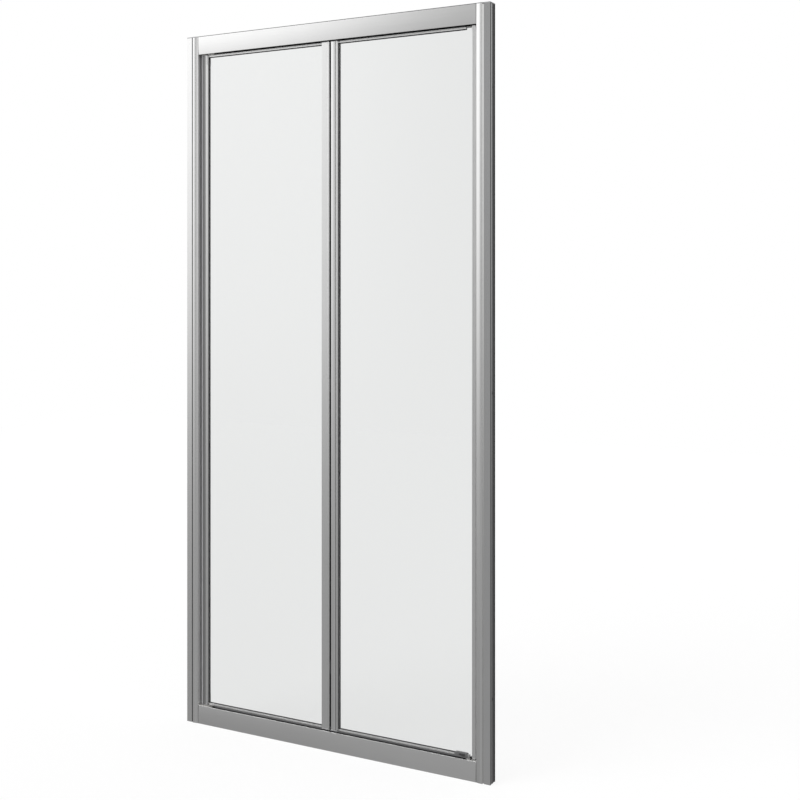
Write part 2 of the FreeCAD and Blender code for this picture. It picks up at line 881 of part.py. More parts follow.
def stud_nut():
    corner = nut_across_flats / math.sqrt(3)
    points = [polar(guide_x, panel_line, corner, step * half_turn / 3) for step in range(6)]
    face = section(points).cut(disc(guide_x, panel_line, stud_radius + fit_gap))
    return stand(face, panel_top, panel_top + nut_height)


# The carriage: a narrow moulded body that stands in the slot, with a bore for the stud and
# one for each axle.
def carriage():
    outline = rounded_rectangle(
        guide_x - carriage_half_length, guide_x + carriage_half_length,
        carriage_bottom, carriage_bottom + carriage_height, carriage_round, facing_front,
    )
    y0 = panel_line - carriage_width / 2
    body = outline.extrude(FreeCAD.Vector(0, carriage_width, 0))
    body.translate(FreeCAD.Vector(0, y0, 0))
    body = body.cut(rod(
        guide_x, panel_line, carriage_bottom - overrun, stud_radius + fit_gap, carriage_height,
    ))
    seat = carriage_bottom + stud_head_seat - seat_gap
    body = body.cut(box(
        guide_x - stud_notch_half_length, guide_x + stud_notch_half_length,
        y0 - overrun, y0 + carriage_width + overrun, seat, seat + carriage_height,
    ))
    for x in axle_places:
        body = body.cut(rod(
            x, y0 - overrun, axle_height, axle_radius + fit_gap, carriage_width + 2 * overrun, along_y,
        ))
    return body


# A roller: a wheel with a dished outer face, turned about the axle.
def roller(x, y, outwards):
    hole = axle_radius + fit_gap
    return turned([
        (hole, 0), (wheel_radius, 0), (wheel_radius, wheel_width), (hole, wheel_width - wheel_dish),
    ], FreeCAD.Vector(x, y, axle_height), FreeCAD.Vector(0, outwards, 0))


def roller_pair(x):
    reach = carriage_width / 2 + wheel_side_gap
    return [roller(x, panel_line - reach, -1), roller(x, panel_line + reach, 1)]


def axle(x):
    half = carriage_width / 2 + wheel_side_gap + wheel_width
    return rod(x, panel_line - half, axle_height, axle_radius, 2 * half, along_y)


# The guide shoe slides in the groove of the bottom rail and swivels on its flanged stud.
def guide_shoe():
    half = shoe_width / 2
    face = rounded_rectangle(
        guide_x - shoe_half_length, guide_x + shoe_half_length,
        panel_line - half, panel_line + half, shoe_round,
    )
    shoe = stand(face, shoe_bottom, shoe_bottom + shoe_height)
    shoe = shoe.cut(rod(
        guide_x, panel_line, shoe_bottom - overrun, guide_stud_radius + fit_gap, bottom_rail_height,
    ))
    recess = shoe_flange_height + 2 * seat_gap
    return shoe.cut(rod(
        guide_x, panel_line, shoe_bottom - overrun, shoe_flange_radius + slip_gap, recess + overrun,
    ))


def guide_stud():
    length = panel_bottom + bracket_thickness - shoe_bottom
    return joined([
        rod(guide_x, panel_line, shoe_bottom, shoe_flange_radius, shoe_flange_height),
        rod(guide_x, panel_line, shoe_bottom, guide_stud_radius, length),
    ])


# The release housing sits on the front of the glass and the trim, with a window for the slider.
def release_housing():
    y0 = trim_front - housing_depth
    low = panel_bottom + tongue_gap
    high = panel_bottom + housing_height
    bulge = -housing_round * quarter_share
    outline = section([
        (housing_left, low), (housing_right, low), (housing_right, high - housing_round),
        (housing_right - housing_round, high, bulge), (housing_left + housing_round, high),
        (housing_left, high - housing_round, bulge),
    ], facing_front)
    body = outline.extrude(FreeCAD.Vector(0, glass_front - y0, 0))
    body.translate(FreeCAD.Vector(0, y0, 0))
    body = body.cut(box(
        housing_left - overrun, housing_right + overrun, trim_front, glass_rear,
        panel_bottom - overrun, panel_bottom + trim_height + seat_gap,
    ))
    body = body.cut(box(
        housing_left + housing_wall, housing_right - housing_wall,
        y0 + housing_wall, trim_front - housing_wall,
        low + housing_wall, high - housing_wall,
    ))
    body = body.cut(box(
        slider_middle_x - slider_length / 2 - slider_travel - slip_gap,
        slider_middle_x + slider_length / 2 + slip_gap,
        y0 - overrun, y0 + housing_wall + seat_gap,
        slider_middle - slider_height / 2 - slip_gap, slider_middle + slider_height / 2 + slip_gap,
    ))
    return body.cut(box(
        housing_right - housing_wall - overrun, housing_right + overrun,
        slider_front - slip_gap, slider_front + tongue_size + slip_gap,
        slider_middle - tongue_size / 2 - slip_gap, slider_middle + tongue_size / 2 + slip_gap,
    ))


# The release slider: a base in the housing, a ribbed thumb pad and the tongue for the catch.
def release_slider():
    y0 = trim_front - housing_depth
    pad_x0 = slider_middle_x - slider_length / 2
    pad_x1 = slider_middle_x + slider_length / 2
    half_base = slider_height / 2 + slider_base_thickness / 2
    pieces = [
        box(
            pad_x0 - slider_travel, slider_right, slider_front, slider_front + slider_base_thickness,
            slider_middle - half_base, slider_middle + half_base,
        ),
        box(
            pad_x0, pad_x1, y0 - slider_proud, slider_front,
            slider_middle - slider_height / 2, slider_middle + slider_height / 2,
        ),
        box(
            slider_right, catch_left + tongue_hold, slider_front, slider_front + tongue_size,
            slider_middle - tongue_size / 2, slider_middle + tongue_size / 2,
        ),
    ]
    pitch = slider_length / (slider_rib_count + 1)
    for number in range(slider_rib_count):
        x = pad_x0 + (number + 1) * pitch
        pieces.append(box(
            x - slider_rib_width / 2, x + slider_rib_width / 2,
            y0 - slider_proud - slider_rib_height, y0 - slider_proud,
            slider_middle - slider_height / 2, slider_middle + slider_height / 2,
        ))
    return joined(pieces)


# The rubber stop that the carriage meets when the door is folded.
def track_stop():
    reach = math.hypot(guide_x - hinge_x, panel_line - hinge_y)
    closed_angle = math.asin((panel_line - hinge_y) / reach)
    folded = math.radians(fold_angle) - closed_angle
    carriage_x = pivot_x + 2 * reach * math.cos(folded)
    x1 = carriage_x - carriage_half_length - track_stop_gap
    y0 = panel_line - track_slot_width / 2 - rail_wall
    y1 = panel_line + track_slot_width / 2 + rail_wall
    head = box(x1 - track_stop_length, x1, y0, y1, ledge_top, ledge_top + track_stop_height)
    stem_half = carriage_width / 2
    stem = box(
        x1 - track_stop_length, x1, panel_line - stem_half, panel_line + stem_half,
        ledge_bottom - ledge_thickness, ledge_top,
    )
    foot = box(x1 - track_stop_length, x1, y0, y1, ledge_bottom - 2 * ledge_thickness, ledge_bottom)
    return joined([head, stem, foot])


# The cap over the top of a wall channel and its jamb, with a peg in the chamber of the jamb.
def top_cap():
    plate = joined([
        rectangle(-half_width, -seam, channel_front, channel_rear),
        section([
            (-seam, channel_front),
            (-jamb_side - jamb_nose_radius, channel_front, -jamb_crown),
            (-jamb_side, channel_front + jamb_nose_radius, -jamb_nose_radius * quarter_share),
            (-jamb_side, channel_rear), (-seam, channel_rear),
        ]),
    ])
    peg = rectangle(
        -seam + 2 * jamb_wall, -jamb_side - 3 * jamb_wall,
        channel_front + 2 * jamb_wall, channel_front + 2 * jamb_wall + cap_peg_depth,
    )
    return joined([
        stand(plate, profile_top, door_height),
        stand(peg, profile_top - top_cap_plug_depth, profile_top),
    ])


def frame_screws():
    return [
        screw(
            frame_screw_x, channel_rear, height, -along_y,
            frame_screw_head_radius, frame_screw_head_height, frame_screw_radius, frame_screw_length,
        )
        for height in frame_screw_heights
    ]


# places inside the carriage, shoe and release that follow from the sizes
carriage_bottom = ledge_top - carriage_drop
axle_height = ledge_top + wheel_track_gap + wheel_radius
axle_places = (guide_x - wheel_spacing / 2, guide_x + wheel_spacing / 2)
shoe_bottom = groove_floor + shoe_floor_gap
housing_right = jamb_side - housing_inset
housing_left = housing_right - housing_length
slider_middle = panel_bottom + housing_height / 2
slider_front = trim_front - housing_depth + housing_wall + seat_gap
slider_right = housing_right - housing_wall - slip_gap
slider_middle_x = slider_right - slider_travel - slider_length / 2
catch_left = housing_right + slip_gap * 3

# the frame on the walls
foot_half = pivot_seal_foot_width / 2 + seat_gap
magnet_half = magnet_strip_width / 2 + seat_gap
left_jamb = jamb(panel_line - foot_half, panel_line + foot_half, pivot_seal_foot_depth + seat_gap)
right_jamb = jamb(
    panel_line - magnet_half, panel_line + magnet_half,
    magnet_strip_thickness - jamb_magnet_proud + seat_gap,
)
save("left_wall_channel", wall_channel())
save("right_wall_channel", mirrored(wall_channel()))
save("left_jamb", left_jamb)
save("right_jamb", mirrored(right_jamb))
save("bottom_rail_fascia", bottom_rail_fascia())
save("bottom_rail", bottom_rail())
save("bottom_rail_rear", bottom_rail_rear())
save("guide_strip", guide_strip())
save("top_rail", top_rail())
save("left_top_cap", top_cap())
save("right_top_cap", mirrored(top_cap()))
save("frame_screws", both_sides(frame_screws()))
save("top_pivot_block", top_pivot_block())
save("bottom_pivot_block", bottom_pivot_block())
save("pivot_washer", thrust_washer())
save("pivot_seal", pivot_seal())
save("jamb_magnet_strip", jamb_magnet_strip())
save("jamb_magnet_bar", stand(
    magnet_face(jamb_magnet_middle(), 0), bottom_rail_height + slip_gap, top_rail_bottom - slip_gap,
))
save("track_stop", track_stop())

# the pivot panel
near_edge = glass_edge(pivot_glass_side, -1, pivot_pocket_depth)
near_hinge_edge = glass_edge(near_hinge_left, 1, pocket_depth)
save("pivot_stile", pivot_stile())
save("near_hinge_stile", near_hinge_stile())
save("pivot_glass", glass_sheet(near_edge, near_hinge_edge))
save("pivot_glass_gaskets", [
    gasket(pivot_glass_side, -1, pivot_pocket_depth), gasket(near_hinge_left, 1, pocket_depth),
])
near_trim = (pivot_glass_side + slip_gap, near_hinge_left - slip_gap)
save("pivot_bottom_trim", edge_trim(near_trim[0], near_trim[1], panel_bottom, 1))
save("pivot_top_trim", edge_trim(near_trim[0], near_trim[1], panel_top, -1))
save("pivot_top_cap", pivot_cap(True))
save("pivot_bottom_cap", pivot_cap(False))
save("top_pivot_pin", pivot_pin(True))
save("bottom_pivot_pin", pivot_pin(False))
save("near_hinge_end_caps", [
    end_cap(near_hinge_outline, near_hinge_left, 1, pocket_depth, at_top, prong_length)
    for at_top in (False, True)
])

# the leading panel
far_hinge_edge = glass_edge(far_hinge_right, -1, pocket_depth)
leading_edge = glass_edge(leading_left, 1, leading_pocket_depth)
save("far_hinge_stile", far_hinge_stile())
save("leading_stile", leading_stile())
save("leading_glass", glass_sheet(far_hinge_edge, leading_edge))
save("leading_glass_gaskets", [
    gasket(far_hinge_right, -1, pocket_depth), gasket(leading_left, 1, leading_pocket_depth),
])
far_trim = (far_hinge_right + slip_gap, leading_left - bracket_reach - slip_gap)
save("leading_bottom_trim", edge_trim(far_trim[0], far_trim[1], panel_bottom, 1))
save("leading_top_trim", edge_trim(far_trim[0], far_trim[1], panel_top, -1))
save("far_hinge_end_caps", [
    end_cap(far_hinge_outline, far_hinge_right, -1, pocket_depth, at_top, prong_length)
    for at_top in (False, True)
])
save("centre_seal", centre_seal())
save("leading_magnet_strip", leading_magnet_strip())
save("leading_magnet_bar", stand(leading_magnet_face(), stile_bottom, stile_top))
save("hanger_bracket", closing_bracket(True))
save("guide_bracket", guide_bracket())
save("roller_stud", roller_stud())
save("stud_nut", stud_nut())
save("guide_stud", guide_stud())
save("release_housing", release_housing())

# the centre hinge
save("hinge_leaves", [hinge_leaf(height) for height in hinge_heights])
save("hinge_pins", [hinge_pin(height) for height in hinge_heights])

# what runs in the rails, and the release
save("roller_carriage", carriage())
for name, x in zip(("rear", "lead"), axle_places):
    save("rollers_" + name, roller_pair(x))
save("roller_axles", [axle(x) for x in axle_places])
save("guide_shoe", guide_shoe())
save("release_slider", release_slider())

print("nodes", len(os.listdir("parts")))
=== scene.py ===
import json
import math
import bmesh
import bpy
import numpy as np
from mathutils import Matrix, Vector
from mathutils.geometry import tessellate_polygon


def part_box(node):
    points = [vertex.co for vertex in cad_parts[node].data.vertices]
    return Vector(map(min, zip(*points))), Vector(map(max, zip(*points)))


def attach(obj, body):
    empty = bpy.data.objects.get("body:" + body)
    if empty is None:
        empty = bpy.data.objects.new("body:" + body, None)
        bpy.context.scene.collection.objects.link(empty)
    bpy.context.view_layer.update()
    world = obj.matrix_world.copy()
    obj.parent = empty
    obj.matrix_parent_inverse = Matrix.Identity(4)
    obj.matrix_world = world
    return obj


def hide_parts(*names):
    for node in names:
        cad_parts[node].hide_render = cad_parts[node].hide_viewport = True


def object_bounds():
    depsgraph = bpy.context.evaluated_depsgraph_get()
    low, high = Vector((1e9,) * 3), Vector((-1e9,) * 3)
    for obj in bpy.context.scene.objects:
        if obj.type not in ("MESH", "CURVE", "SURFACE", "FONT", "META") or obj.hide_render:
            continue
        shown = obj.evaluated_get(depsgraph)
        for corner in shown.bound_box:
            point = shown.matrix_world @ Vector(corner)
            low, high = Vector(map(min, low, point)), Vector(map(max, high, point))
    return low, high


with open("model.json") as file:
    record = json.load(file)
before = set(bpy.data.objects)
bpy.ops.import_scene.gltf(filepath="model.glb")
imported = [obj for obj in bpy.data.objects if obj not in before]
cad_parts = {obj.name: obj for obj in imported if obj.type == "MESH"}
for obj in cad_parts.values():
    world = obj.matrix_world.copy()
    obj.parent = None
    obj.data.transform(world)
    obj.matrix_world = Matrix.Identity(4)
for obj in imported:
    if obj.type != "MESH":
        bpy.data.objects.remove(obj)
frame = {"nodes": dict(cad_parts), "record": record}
cadBox = [list(corner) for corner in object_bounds()]
nodes = frame["nodes"]
mm = 0.001
white = (1, 1, 1, 1)
print("stage: frame loaded,", len(nodes), "nodes")

# X runs from the pivot side to the closing side, Y into the shower, Z up.
upright = (0, 1, 2)   # a profile in X and Y carried up along Z
lengthwise = (1, 2, 0)   # a profile in Y and Z carried along X
alongX, alongZ = 0, 2   # the axis of a profile's streaks


# A shader socket with arithmetic: an expression on values adds its Math nodes.
class Value:
    def __init__(self, finish, socket):
        self.finish = finish
        self.socket = socket

    def __add__(self, other):
        return self.finish.maths("ADD", self, other)

    def __radd__(self, other):
        return self.finish.maths("ADD", other, self)

    def __sub__(self, other):
        return self.finish.maths("SUBTRACT", self, other)

    def __rsub__(self, other):
        return self.finish.maths("SUBTRACT", other, self)

    def __mul__(self, other):
        return self.finish.maths("MULTIPLY", self, other)


# A node tree, with short methods for the nodes that are used often.
class Finish:
    def __init__(self, tree):
        self.tree = tree
        tree.nodes.clear()

    # The node's settings come first, a ramp's stops among them, then its values and links.
    def node(self, kind, settings=None, sockets=None, output=0):
        made = self.tree.nodes.new(kind)
        for key, setting in (settings or {}).items():
            if key == "stops":
                ramp = made.color_ramp
                ramp.elements[0].position = setting[0][0]
                ramp.elements[1].position = setting[-1][0]
                for place, level in setting[1:-1]:
                    ramp.elements.new(place)
                for element, (place, level) in zip(ramp.elements, setting):
                    element.color = (level, level, level, 1)
            else:
                setattr(made, key, setting)
        for key, value in (sockets or {}).items():
            if isinstance(value, Value):
                self.tree.links.new(value.socket, made.inputs[key])
            else:
                made.inputs[key].default_value = value
        return Value(self, made.outputs[output]) if output is not None else None

    def maths(self, operation, *values):
        return self.node("ShaderNodeMath", {"operation": operation}, dict(enumerate(values)))

    def axis(self, vector, name):
        return self.node("ShaderNodeSeparateXYZ", None, {0: vector}, output=name)

    # The result goes from start to end while the value goes from low to high, and stops there.
    def mapped(self, value, low, high, start, end):
        return self.node("ShaderNodeMapRange", None, {
            "Value": value, "From Min": low, "From Max": high, "To Min": start, "To Max": end,
        })

    def ramp(self, stops, value):
        return self.node("ShaderNodeValToRGB", {"stops": stops}, {0: value})

    def mixed(self, share, first, second):
        return self.node("ShaderNodeMix", {"data_type": "RGBA"}, {
            "Factor": share, "A": first, "B": second,
        }, output="Result")

    def mixedShader(self, share, first, second):
        return self.node("ShaderNodeMixShader", None, {0: share, 1: first, 2: second})

    # Noise on Object coordinates, drawn out along the grain by a Mapping node.
    def noise(self, scale, detail, roughness):
        coordinates = self.node("ShaderNodeTexCoord", output="Object")
        drawnOut = self.node("ShaderNodeMapping", None, {"Vector": coordinates, "Scale": scale})
        return self.node("ShaderNodeTexNoise", None, {
            "Vector": drawnOut, "Scale": 1.0, "Detail": detail, "Roughness": roughness,
        })

    def bump(self, height, settings):
        return self.node("ShaderNodeBump", None, {
            "Height": height, "Strength": settings["bump"], "Distance": settings["depth"],
        })

    def ray(self, kind):
        return self.node("ShaderNodeLightPath", output=kind)

    # 1 for a ray that a glossy surface has sent on, 0 for any other.
    def offMetal(self):
        return self.maths("MINIMUM", self.ray("Glossy Depth"), 1.0)

    def surface(self, **sockets):
        named = {key.replace("_", " "): value for key, value in sockets.items()}
        shader = self.node("ShaderNodeBsdfPrincipled", None, named)
        self.node("ShaderNodeOutputMaterial", None, {"Surface": shader}, output=None)


def newMaterial(name):
    material = bpy.data.materials.new(name)
    material.use_nodes = True
    return material, Finish(material.node_tree)


# How far a point lies inside a box: 1 within its limits on every axis named, 0 past a soft edge.
def insideBox(finish, limits, soft):
    point = finish.node("ShaderNodeTexCoord", output="Object")
    share = None
    for axis, (low, high) in limits.items():
        offset = finish.maths("ABSOLUTE", finish.axis(point, axis) - (low + high) / 2)
        reach = (high - low) / 2
        part = finish.mapped(offset, reach, reach + soft, 1.0, 0.0)
        share = part if share is None else share * part
    return share


evenNoise = 0.5   # the level that a noise swings about


# Satin anodised aluminium: streaks of the die run with the profile, over a faint mottle. Inside
# the boxes named, in grooves, gaps and on faces in shade, painted shade makes it darker and duller.
def satinAluminium(name, along, settings, *boxes):
    material, finish = newMaterial(name)
    streakScale = [settings["streaksPerMetre"]] * 3
    streakScale[along] = settings["streakLength"]
    hairScale = [scale * settings["hairRatio"] for scale in streakScale]
    streak = finish.noise(streakScale, *settings["streakNoise"])
    hair = finish.noise(hairScale, *settings["hairNoise"])
    mottle = finish.noise([settings["mottle"]] * 3, *settings["mottleNoise"])
    streakShare, hairShare, mottleShare = settings["shares"]
    share = streak * streakShare + hair * hairShare + mottle * mottleShare
    colour = finish.mixed(share, (*settings["dark"], 1), (*settings["light"], 1))
    metallic = settings["metallic"]
    if boxes:
        paintedShade = insideBox(finish, boxes[0], settings["boxEdge"])
        for limits in boxes[1:]:
            paintedShade = finish.maths("MAXIMUM", paintedShade, insideBox(finish, limits, settings["boxEdge"]))
        # Painted shade: inside the boxes the colour goes to a dark grey and the metal drops.
        colour = finish.mixed(paintedShade, colour, (*settings["boxColour"], 1))
        metallic = metallic - paintedShade * settings["boxDull"]
    streakRelief, hairRelief = settings["relief"]
    relief = streak * streakRelief + hair * hairRelief
    finish.surface(
        Base_Color=colour,
        Metallic=metallic,
        Roughness=settings["roughness"] + (relief - evenNoise) * settings["roughnessSwing"],
        Normal=finish.bump(relief, settings),
    )
    return material


# A moulded or extruded plastic or rubber: fine grain, soft shade changes, slight shine changes.
# Inside the box named it is moulded in another colour.
def moulded(name, settings, box=None):
    material, finish = newMaterial(name)
    grain = finish.noise([settings["grain"]] * 3, *settings["grainNoise"])
    shade = finish.noise([settings["shade"]] * 3, *settings["shadeNoise"])
    grainShare, shadeShare = settings["shares"]
    share = grain * grainShare + shade * shadeShare
    colour = finish.mixed(share, (*settings["dark"], 1), (*settings["light"], 1))
    if box:
        other = insideBox(finish, box, settings["boxEdge"])
        colour = finish.mixed(other, colour, (*settings["boxColour"], 1))
    finish.surface(
        Base_Color=colour,
        Roughness=settings["roughness"] + (shade - evenNoise) * settings["roughnessSwing"],
        Normal=finish.bump(grain, settings),
    )
    return material


# Clear toughened glass: a faint grey-green body and a very slight roller wave.
def clearGlass(name, settings):
    material, finish = newMaterial(name)
    wave = finish.noise(settings["wave"], *settings["waveNoise"])
    finish.surface(
        Base_Color=(*settings["tint"], 1),
        Roughness=settings["roughness"],
        IOR=settings["ior"],
        Transmission_Weight=1.0,
        Normal=finish.bump(wave, settings),
    )
    return material


# Each noise has a detail and a roughness. The shares are those of the noises in the colour, and
# the relief is that of streak and hair in the bump and the shine.
metalLook = {
    "streaksPerMetre": 900.0, "streakLength": 5.0, "hairRatio": 2.6, "mottle": 14.0,
    "streakNoise": (4.0, 0.6), "hairNoise": (2.0, 0.5), "mottleNoise": (2.0, 0.5),
    "shares": (0.5, 0.25, 0.25), "relief": (0.6, 0.4),
    "dark": (0.80, 0.80, 0.80), "light": (0.93, 0.93, 0.925), "metallic": 1.0,
    "roughness": 0.19, "roughnessSwing": 0.08, "bump": 0.12, "depth": 0.0001,
    "boxColour": (0.035, 0.035, 0.037), "boxEdge": 0.0001, "boxDull": 0.9,
}
# A darker copy of the metal, for the right wall channel only: painted shade. Its lower roughness is its own.
shadedChannelLook = dict(
    metalLook, dark=(0.66, 0.665, 0.67), light=(0.80, 0.80, 0.80), roughness=0.12, roughnessSwing=0.06,
)
steelLook = dict(
    metalLook, dark=(0.50, 0.50, 0.49), light=(0.66, 0.65, 0.64), roughness=0.22, streaksPerMetre=1600.0,
)
# The grey nose band of the pivot stile: painted shade from the jamb beside it, and the grey of the seal lip
# over it.
noseLook = dict(metalLook, boxColour=(0.20, 0.20, 0.20), boxDull=0.6)
trimLook = dict(metalLook, metallic=0.5, roughness=0.24)
leafLook = dict(metalLook, dark=(0.60, 0.60, 0.60), light=(0.78, 0.78, 0.78), roughness=0.32)
gasketLook = {
    "grain": 1800.0, "shade": 30.0, "grainNoise": (3.0, 0.6), "shadeNoise": (2.0, 0.5),
    "shares": (0.35, 0.65), "dark": (0.012, 0.012, 0.013), "light": (0.035, 0.035, 0.037),
    "roughness": 0.55, "roughnessSwing": 0.15, "bump": 0.25, "depth": 0.0002,
    "boxColour": (0.55, 0.55, 0.55), "boxEdge": 0.0001,
}
softGasketLook = dict(gasketLook, dark=(0.03, 0.03, 0.031), light=(0.06, 0.06, 0.062))
sealLook = dict(gasketLook, dark=(0.50, 0.50, 0.51), light=(0.60, 0.60, 0.61), roughness=0.5)
greyPlasticLook = dict(gasketLook, dark=(0.30, 0.30, 0.31), light=(0.40, 0.40, 0.41), roughness=0.42)
paleLook = dict(gasketLook, dark=(0.50, 0.50, 0.50), light=(0.62, 0.62, 0.61), roughness=0.38)
magnetLook = dict(gasketLook, dark=(0.035, 0.03, 0.028), light=(0.07, 0.062, 0.058), roughness=0.6)
nylonLook = dict(gasketLook, dark=(0.72, 0.71, 0.68), light=(0.83, 0.82, 0.79), roughness=0.36)
housingLook = dict(gasketLook, dark=(0.12, 0.12, 0.122), light=(0.17, 0.17, 0.172), roughness=0.32)
sliderLook = dict(gasketLook, dark=(0.05, 0.05, 0.051), light=(0.08, 0.08, 0.082), roughness=0.35)
rubberLook = dict(gasketLook, roughness=0.7)
glassLook = {
    "tint": (0.842, 0.85, 0.846), "roughness": 0.0, "ior": 1.5,
    "wave": (3.0, 3.0, 1.2), "waveNoise": (1.0, 0.4), "bump": 0.03, "depth": 0.0005,
}

# Boxes in metres: all but the last paint shade into a metal finish; the last changes a gasket's colour.
boxes = {
    "trough": {"Y": (-0.0160, 0.0185), "Z": (0.0300, 0.0484)},   # inside the threshold
    "track": {"Y": (-0.0172, 0.0185), "Z": (1.8012, 1.8484)},   # inside the top rail
    "railEnd": {"X": (-0.4130, -0.4118)},   # the joint of both rails with the left jamb
    "topLine": {"Y": (-0.0200, -0.0172), "Z": (1.8483, 1.8502)},   # the top front edge of the top rail
    "reveal": {"X": (-0.4336, -0.4298), "Y": (-0.0192, -0.0145)},   # the shadow line of the left jamb
    "channelEdge": {"X": (-0.4339, -0.4334), "Y": (-0.0182, -0.0160)},   # the channel beside that line
    "channelSide": {"X": (0.4490, 0.4502), "Y": (0.0045, 0.0102)},   # the rear of the right channel
    # Painted on the nose: shade from the jamb beside it, and the grey of the seal lip over it.
    "nose": {"X": (-0.4110, -0.3938), "Y": (-0.0104, 0.0030)},   # the round edge of the pivot stile
    "faceLine": {"X": (0.0164, 0.0176), "Y": (-0.0098, -0.0085)},   # the line in the far hinge stile
    "rebate": {"X": (0.0014, 0.0031), "Y": (-0.0096, -0.0046)},   # the step at the seam of the stiles
    "leafWeb": {"X": (-0.0008, 0.0018), "Y": (-0.0130, -0.0060)},   # the leaves between the stiles
    "behindGlass": {"Y": (0.0030, 0.0052)},   # the gaskets behind the panes
}
finishes = {
    "uprightMetal": satinAluminium("satin upright", alongZ, metalLook),
    "trimMetal": satinAluminium("satin trim", alongX, trimLook),
    "channelMetal": satinAluminium("satin wall channel", alongZ, shadedChannelLook, boxes["channelSide"]),
    "edgeMetal": satinAluminium("satin channel edge", alongZ, metalLook, boxes["channelEdge"]),
    "troughMetal": satinAluminium("satin threshold", alongX, metalLook, boxes["trough"], boxes["railEnd"]),
    "trackMetal": satinAluminium(
        "satin track", alongX, metalLook, boxes["track"], boxes["topLine"], boxes["railEnd"],
    ),
    "revealMetal": satinAluminium("satin jamb with a shadow line", alongZ, metalLook, boxes["reveal"]),
    "noseMetal": satinAluminium("satin stile with a grey nose", alongZ, noseLook, boxes["nose"]),
    "lineMetal": satinAluminium(
        "satin stile with a line", alongZ, metalLook, boxes["faceLine"], boxes["rebate"],
    ),
    "steel": satinAluminium("turned steel", alongZ, steelLook),
    "leaf": satinAluminium("satin hinge leaf", alongZ, leafLook, boxes["leafWeb"]),
    "gasket": moulded("dark gasket", gasketLook),
    "frontGasket": moulded("gasket pale behind", gasketLook, boxes["behindGlass"]),
    "softGasket": moulded("grey gasket pale behind", softGasketLook, boxes["behindGlass"]),
    "seal": moulded("grey seal", sealLook),
    "greyPlastic": moulded("grey plastic", greyPlasticLook),
    "pale": moulded("pale magnet strip", paleLook),
    "magnet": moulded("magnet bar", magnetLook),
    "nylon": moulded("white nylon", nylonLook),
    "housing": moulded("grey release housing", housingLook),
    "slider": moulded("dark grey slider", sliderLook),
    "rubber": moulded("black rubber", rubberLook),
    "glass": clearGlass("clear glass", glassLook),
}

# The finish of each material slot, and of the nodes that have one of their own.
slotFinishes = {
    "satin_aluminium": "uprightMetal", "clear_glass": "glass", "dark_gasket": "gasket",
    "grey_seal": "seal", "grey_plastic": "greyPlastic", "pale_magnet_strip": "pale",
    "magnet_bar": "magnet", "white_nylon": "nylon", "stainless_steel": "steel",
    "satin_leaf": "leaf", "black_plastic": "housing", "black_rubber": "rubber",
}
trimBodies = {
    "pivot_bottom_trim": "pivot_panel", "pivot_top_trim": "pivot_panel",
    "leading_bottom_trim": "leading_panel", "leading_top_trim": "leading_panel",
}
nodeFinishes = {
    "bottom_rail_fascia": "troughMetal", "bottom_rail": "troughMetal", "bottom_rail_rear": "troughMetal",
    "left_wall_channel": "edgeMetal", "right_wall_channel": "channelMetal",
    "pivot_glass_gaskets": "frontGasket", "leading_glass_gaskets": "softGasket",
    "release_slider": "slider",
}
nodeFinishes.update({name: "trimMetal" for name in trimBodies})
for entry in frame["record"]["subparts"]:
    name = entry["node"]
    finishName = nodeFinishes.get(name, slotFinishes[entry["material_slot"]])
    for holder in nodes[name].material_slots:
        holder.material = finishes[finishName]
print("stage: finishes made,", len(finishes))

samePoint = 1e-7   # metres between two points of an outline that count as one
sameVertex = 1e-6   # metres between two vertices that are merged
quarterRise = 0.293   # how far a quarter turn rises over its chord, in radii: 1 - sqrt(1/2)
bevelGain = math.sqrt(2) - 1   # how much longer a bevel is inside a wall, in walls


# Corners (a, b, reach): the outline leaves a corner P by its reach along both sides, at A and
# B, and between them it is the curve (1-s)^2 A + 2s(1-s) P + s^2 B.
def rounded(corners, steps=6):
    table = np.array(corners, float)
    points = table[:, :2]
    back = np.roll(points, 1, axis=0) - points
    ahead = np.roll(points, -1, axis=0) - points
    back = back / np.linalg.norm(back, axis=1, keepdims=True)
    ahead = ahead / np.linalg.norm(ahead, axis=1, keepdims=True)
    a = (points + back * table[:, 2:])[:, None]
    b = (points + ahead * table[:, 2:])[:, None]
    s = np.linspace(0, 1, steps)[None, :, None]
    curve = (1 - s) ** 2 * a + 2 * s * (1 - s) * points[:, None] + s ** 2 * b
    flat = curve.reshape(-1, 2)
    gap = np.linalg.norm(flat - np.roll(flat, 1, axis=0), axis=1)
    return flat[gap > samePoint]


# The arc from start to end whose middle stands rise to the left of the way: with half the
# chord c, its radius is (c^2 + rise^2) / (2 rise). The rows hold a, b and no corner reach.
def bow(start, end, rise, count=25):
    start, end = np.array(start, float), np.array(end, float)
    chord = end - start
    half = np.linalg.norm(chord) / 2
    along = chord / (2 * half)
    left = np.array([-along[1], along[0]])
    radius = (half ** 2 + rise ** 2) / (2 * rise)
    centre = (start + end) / 2 + left * (rise - radius)
    spread = math.asin(half / abs(radius))
    if abs(rise) > half:
        spread = math.pi - spread
    angle = np.linspace(-spread, spread, count)[:, None]
    points = centre + radius * (np.cos(angle) * left) + abs(radius) * np.sin(angle) * along
    return np.hstack([points, np.zeros((count, 1))])


def circle(a, b, radius, count=48):
    angle = np.linspace(0, 2 * math.pi, count, endpoint=False)
    return np.stack([a + radius * np.cos(angle), b + radius * np.sin(angle)], axis=1)


def mirrored(loops):
    return [np.asarray(loop) * (-1, 1) for loop in loops]


def turnedTo(loop, anticlockwise):
    following = np.roll(loop, -1, axis=0)
    area = np.sum(loop[:, 0] * following[:, 1] - following[:, 0] * loop[:, 1])
    return loop if (area > 0) == anticlockwise else loop[::-1]


